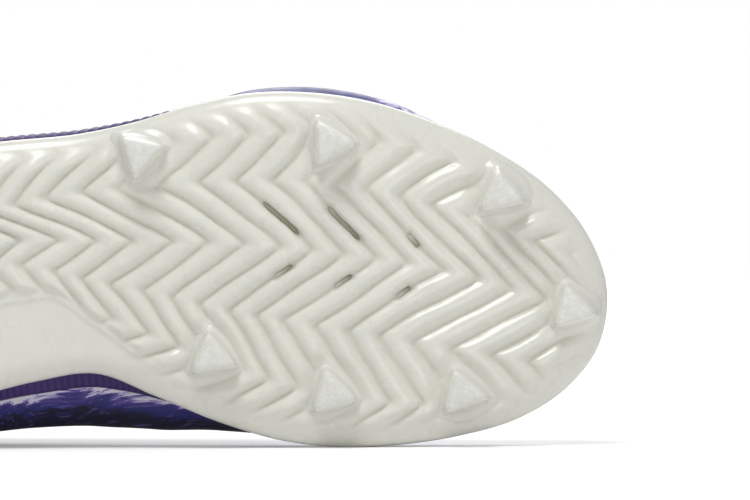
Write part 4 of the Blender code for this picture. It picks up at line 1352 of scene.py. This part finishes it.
def build_rand():
    """The strip round heel and waist, with upright ridges, and rope-like ones on the lateral side."""
    spokes = all_spokes(200, 10, 560, 10)
    order = np.roll(np.arange(len(spokes.foot)), -(len(spokes.foot) // 2))
    order = order[spokes.foot_share[order] <= RAND_FRONT]
    spokes = Spokes(spokes.centre[order], spokes.direction[order])
    rise = RAND_RISE * RAND.at("rise", spokes.foot_share)
    run = run_of(spokes.place(spokes.foot, spokes.rim))
    out = np.column_stack((spokes.direction, np.zeros(len(order))))
    lateral = smooth(0.1, -0.1, spokes.direction[:, 1])
    proud = 1 - lateral + lateral * RAND.at("lateral", spokes.foot_share)
    upright = 0.5 + 0.5 * np.cos(2 * math.pi * run / RIDGE_PITCH)

    def skin_at(share):
        return spokes.low(spokes.rim + CLEARANCE + rise * share)

    up_steps = np.linspace(0.0, 1.0, 13)
    outer, ridges = [], []
    for share in up_steps:
        slanted = np.abs(np.cos(math.pi * (run / ROPE_PITCH + share * 0.9))) ** 0.6
        ridge = upright * (1 - lateral) + slanted * lateral
        band = smooth(0.0, 0.16, share) * (1 - smooth(0.84, 1.0, share))
        thick = RAND_THICKNESS * proud * (0.25 + 0.75 * math.sin(math.pi * share) ** 0.5)
        thick = thick - RIDGE_DEPTH * (1 - ridge) * band + 0.00025 * ridge * band * lateral
        outer.append(skin_at(share) + out * CLEARANCE * 1.5 + out * thick[:, None])
        ridges.append(ridge * band)
    inner = [skin_at(share) + out * CLEARANCE * 0.5 for share in up_steps[::-2]]
    rings = np.stack(outer + inner, axis=1)
    shade = np.stack(ridges + [np.zeros(len(order))] * len(inner), axis=1)
    faces = tube_faces(*rings.shape[:2])
    marks = {"ridge": shade.ravel()}
    rand = add_mesh("rand_strip", rings.reshape(-1, 3), faces, rand_material(), marks)
    merge(rand, 1e-7)
    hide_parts("rand")


def build_tongue():
    """Padded tongue with cross channels near its top and rounded ends."""
    along_steps, across = 90, 30
    share = np.linspace(0.0, 1.0, along_steps + 1)
    share = rounded(share) * 0.5 + share * 0.5
    x = LENGTH * (TONGUE.x[0] + (TONGUE.x[-1] - TONGUE.x[0]) * share)
    from_top = x - x[0]
    end = from_top / 0.014
    taper = np.where(end < 1, np.sqrt(np.clip(1 - (1 - end) ** 2, 0.0, 1.0)), 1.0)
    half = TONGUE_WIDTH / 2 * TONGUE.at("width", x / LENGTH) * (0.55 + 0.45 * taper)
    off = half[:, None] * np.sin(math.pi / 2 * np.linspace(-1.0, 1.0, across + 1))[None, :]
    point, normal = skin(np.repeat(x[:, None], across + 1, axis=1), off)
    pad = TONGUE_THICKNESS * TONGUE.at("pad", x / LENGTH) * (0.3 + 0.7 * taper)
    round_off = np.sqrt(np.clip(1 - (off / half[:, None]) ** 2, 0.0, 1.0))
    channel = bump((from_top / CHANNEL_PITCH + 0.5) % 1.0, 0.5, 0.10)
    channel *= (1 - smooth(0.030, 0.040, from_top)) * smooth(0.004, 0.007, from_top)
    dent = CHANNEL_DEPTH * channel[:, None] * smooth(0.0, 0.35, round_off)
    gap = UPPER_WALL + 4 * CLEARANCE
    top_sink = gap + dent + 0.0012 * (1 - round_off)
    low_sink = gap + (pad[:, None] * (0.35 + 0.65 * round_off)) - dent * 0.6
    low_sink = np.maximum(low_sink, top_sink + 0.0004)
    upper = point - normal * top_sink[..., None]
    lower = point - normal * low_sink[..., None]
    rings = np.concatenate((upper, lower[:, ::-1]), axis=1)
    marks = np.zeros_like(rings)
    marks[..., 0] = x[:, None]
    marks[..., 1] = np.concatenate((off, off[:, ::-1]), axis=1)
    faces = tube_faces(*rings.shape[:2])
    knit = knit_material("tongue_knit", (0.022, 0.015, 0.06), (0.10, 0.07, 0.22), 190.0, 0.0003)
    layers = {"skin": marks.reshape(-1, 3)}
    tongue = add_mesh("tongue_pad", rings.reshape(-1, 3), faces, knit, layers)
    merge(tongue, 1e-7)
    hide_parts("tongue")


def build_insole():
    """The sock liner: a shallow cupped cloth-covered sheet on the plate."""
    inset = RIM_WALL + 5 * CLEARANCE + UPPER_WALL
    _, sheet = sheet_between(inset, 0.0016, rounded(np.linspace(0.0, 1.0, 41)))
    columns, across = sheet.shape[:2]
    flat = sheet.reshape(-1, 2)
    depth = depth_inside(flat, outline(inset, 0.003))
    base = plate_top(flat[:, 0]) + CLEARANCE
    edge = smooth(0.0, 0.0022, depth)
    cup = 0.0012 * (1 - smooth(0.002, 0.014, depth)) * smooth(0.0, 0.0012, depth)
    cup = cup - 0.0004 * smooth(0.01, 0.02, depth)
    top = base + INSOLE_THICKNESS * (0.72 + 0.28 * edge) + cup * 0.35
    count = len(flat)
    points = np.concatenate((np.column_stack((flat, top)), np.column_stack((flat, base))))
    faces = [face[::-1] for face in grid_faces(columns, across)]
    faces += grid_faces(columns, across, start=count)
    border = [int(v) for v in sheet_edge(columns, across)]
    faces += [(a, b, b + count, a + count) for a, b in zip(border, border[1:] + border[:1])]
    marks = np.column_stack((flat, np.zeros(count)))
    cloth = knit_material("liner_cloth", (0.035, 0.026, 0.085), (0.12, 0.09, 0.25), 260.0, 0.00012)
    layers = {"skin": np.concatenate((marks, marks))}
    insole = add_mesh("sock_liner", points, faces, cloth, layers)
    merge(insole, 1e-6)
    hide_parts("insole")


def lace_ribbon(name, start, end, raised, material):
    """A flat woven lace that comes up out of one eyelet, lies over the throat and goes down into
    the other. Each end is its station and its signed distance from the spine."""
    steps, section = 64, 14
    t = np.linspace(-LACE_PAST, 1 + LACE_PAST, steps + 1)
    inside = np.clip(t, 0.0, 1.0)
    x = start[0] + (end[0] - start[0]) * inside
    off = start[1] + (end[1] - start[1]) * inside
    point, normal = skin(x, off)
    past = np.maximum(np.maximum(-t, t - 1), 0.0) / LACE_PAST
    rise = CLEARANCE * 1.5 + LACE_THICKNESS / 2 - LACE_DIVE * past
    rise = rise + 0.0006 * smooth(0.0, 0.12, inside) * smooth(0.0, 0.12, 1 - inside)
    rise = rise + raised * bump(t, 0.5, 0.16)
    path = point + normal * rise[:, None]
    along = unit(np.gradient(path, axis=0))
    across = unit(np.cross(normal, unit(point[-1] - point[0])))
    up = unit(np.cross(along, across))
    narrow = smooth(0.0, 0.11, inside) * smooth(0.0, 0.11, 1 - inside)
    width = LACE_NECK + (LACE_WIDTH - LACE_NECK) * narrow
    thick = LACE_THICKNESS * (1.15 - 0.35 * narrow)
    run = run_of(path)
    rings, marks = [], []
    for a in turns(section):
        side = math.copysign(abs(math.cos(a)) ** 0.55, math.cos(a)) * width / 2
        height = math.copysign(abs(math.sin(a)) ** 0.8, math.sin(a)) * thick / 2
        rings.append(path + across * side[:, None] + up * height[:, None])
        marks.append(np.column_stack((run, side, np.zeros(len(run)))))
    points = np.stack(rings, axis=1).reshape(-1, 3)
    layers = {"skin": np.stack(marks, axis=1).reshape(-1, 3)}
    return add_mesh(name, points, tube_faces(steps + 1, section), material, layers)


def build_laces():
    weave = knit_material("lace_weave", (0.075, 0.045, 0.20), (0.27, 0.19, 0.52), 420.0, 0.00025)
    stations = eyelet_stations()
    medial = [(x, eyelet_offset(x, 1)) for x in stations]
    lateral = [(x, eyelet_offset(x, -1)) for x in stations]
    bar = lace_ribbon("lace_first_bar", medial[0], lateral[0], 0.0, weave)
    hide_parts("lace_bar")
    for row in range(1, EYELET_ROWS - 1, 2):
        number = row // 2 + 1
        under = lace_ribbon(f"lace_under_{number}", medial[row], lateral[row + 1], 0.0, weave)
        over = lace_ribbon(f"lace_over_{number}", lateral[row], medial[row + 1], LACE_THICKNESS, weave)
        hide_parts(f"lace_cross_{number}")
        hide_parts(f"lace_cross_{number}")


# Stage


def build_stage():
    """White floor and surround. What the camera sees of them is brighter than what lights the shoe,
    so that no horizon shows."""
    scene = bpy.context.scene
    scene.view_settings.view_transform = "Standard"
    world = bpy.data.worlds.new("white_room")
    scene.world = world
    world.use_nodes = True
    nodes, links = world.node_tree.nodes, world.node_tree.links
    seen = nodes.new("ShaderNodeLightPath").outputs["Is Camera Ray"]
    strength = nodes.new("ShaderNodeMapRange")
    strength.inputs["To Min"].default_value = ROOM_LIGHT
    strength.inputs["To Max"].default_value = 1.0
    links.new(seen, strength.inputs["Value"])
    background = nodes["Background"]
    background.inputs["Color"].default_value = (1.0, 1.0, 1.0, 1.0)
    links.new(strength.outputs[0], background.inputs["Strength"])

    mesh = bpy.data.meshes.new("floor")
    corners = ((-1, -1), (1, -1), (1, 1), (-1, 1))
    mesh.from_pydata([(x * FLOOR_SIZE, y * FLOOR_SIZE, 0) for x, y in corners], [], [(0, 1, 2, 3)])
    floor = bpy.data.objects.new("floor", mesh)
    bpy.context.scene.collection.objects.link(floor)
    s = Shader("floor_white", roughness=0.7)
    s.base.inputs["Base Color"].default_value = (0.90, 0.90, 0.90, 1.0)
    s.base.inputs["Specular IOR Level"].default_value = 0.2
    s.base.inputs["Emission Color"].default_value = (1.0, 1.0, 1.0, 1.0)
    place = s.node("TexCoord").outputs["Object"]
    away = s.node("VectorMath", {0: place}, operation="LENGTH").outputs["Value"]
    ranges = dict(zip(("From Min", "From Max", "To Min", "To Max"), FLOOR_GLOW_REACH + FLOOR_GLOW))
    glow = s.node("MapRange", {"Value": away, **ranges}).outputs[0]
    ray = s.node("LightPath").outputs["Is Camera Ray"]
    s.set("Emission Strength", s.math("MULTIPLY", ray, glow))
    mesh.materials.append(s.material)


def add_light(name, place, aim, size, power):
    data = bpy.data.lights.new(name, "AREA")
    data.shape = "DISK"
    data.size = size
    data.energy = power
    light = bpy.data.objects.new(name, data)
    light.location = place
    light.rotation_euler = (Vector(aim) - Vector(place)).to_track_quat("-Z", "Y").to_euler()
    bpy.context.scene.collection.objects.link(light)


def build_camera():
    """Looks straight at the sole, turned so that the shoe's heel end is a little higher."""
    turn = Matrix(
        (
            (math.cos(CAMERA_ROLL), math.sin(CAMERA_ROLL), 0),
            (math.sin(CAMERA_ROLL), -math.cos(CAMERA_ROLL), 0),
            (0, 0, -1),
        )
    ).transposed()
    away = turn @ Vector((0, 0, 1))
    place = LYING @ (Vector(CAMERA_AIM) + away * CAMERA_DISTANCE)
    data = bpy.data.cameras.new("camera")
    data.sensor_width = SENSOR_WIDTH
    data.lens = SENSOR_WIDTH * CAMERA_DISTANCE / VIEW_WIDTH
    camera = bpy.data.objects.new("camera", data)
    camera.matrix_world = Matrix.Translation(place) @ (LYING.to_3x3() @ turn).to_4x4()
    bpy.context.scene.collection.objects.link(camera)
    bpy.context.scene.camera = camera


build_sole()
build_studs()
build_slits()
build_upper()
build_eyelet_rings()
build_stitches()
build_rand()
build_tongue()
build_insole()
build_laces()
build_stage()
for light in LIGHTS:
    add_light(*light)
build_camera()
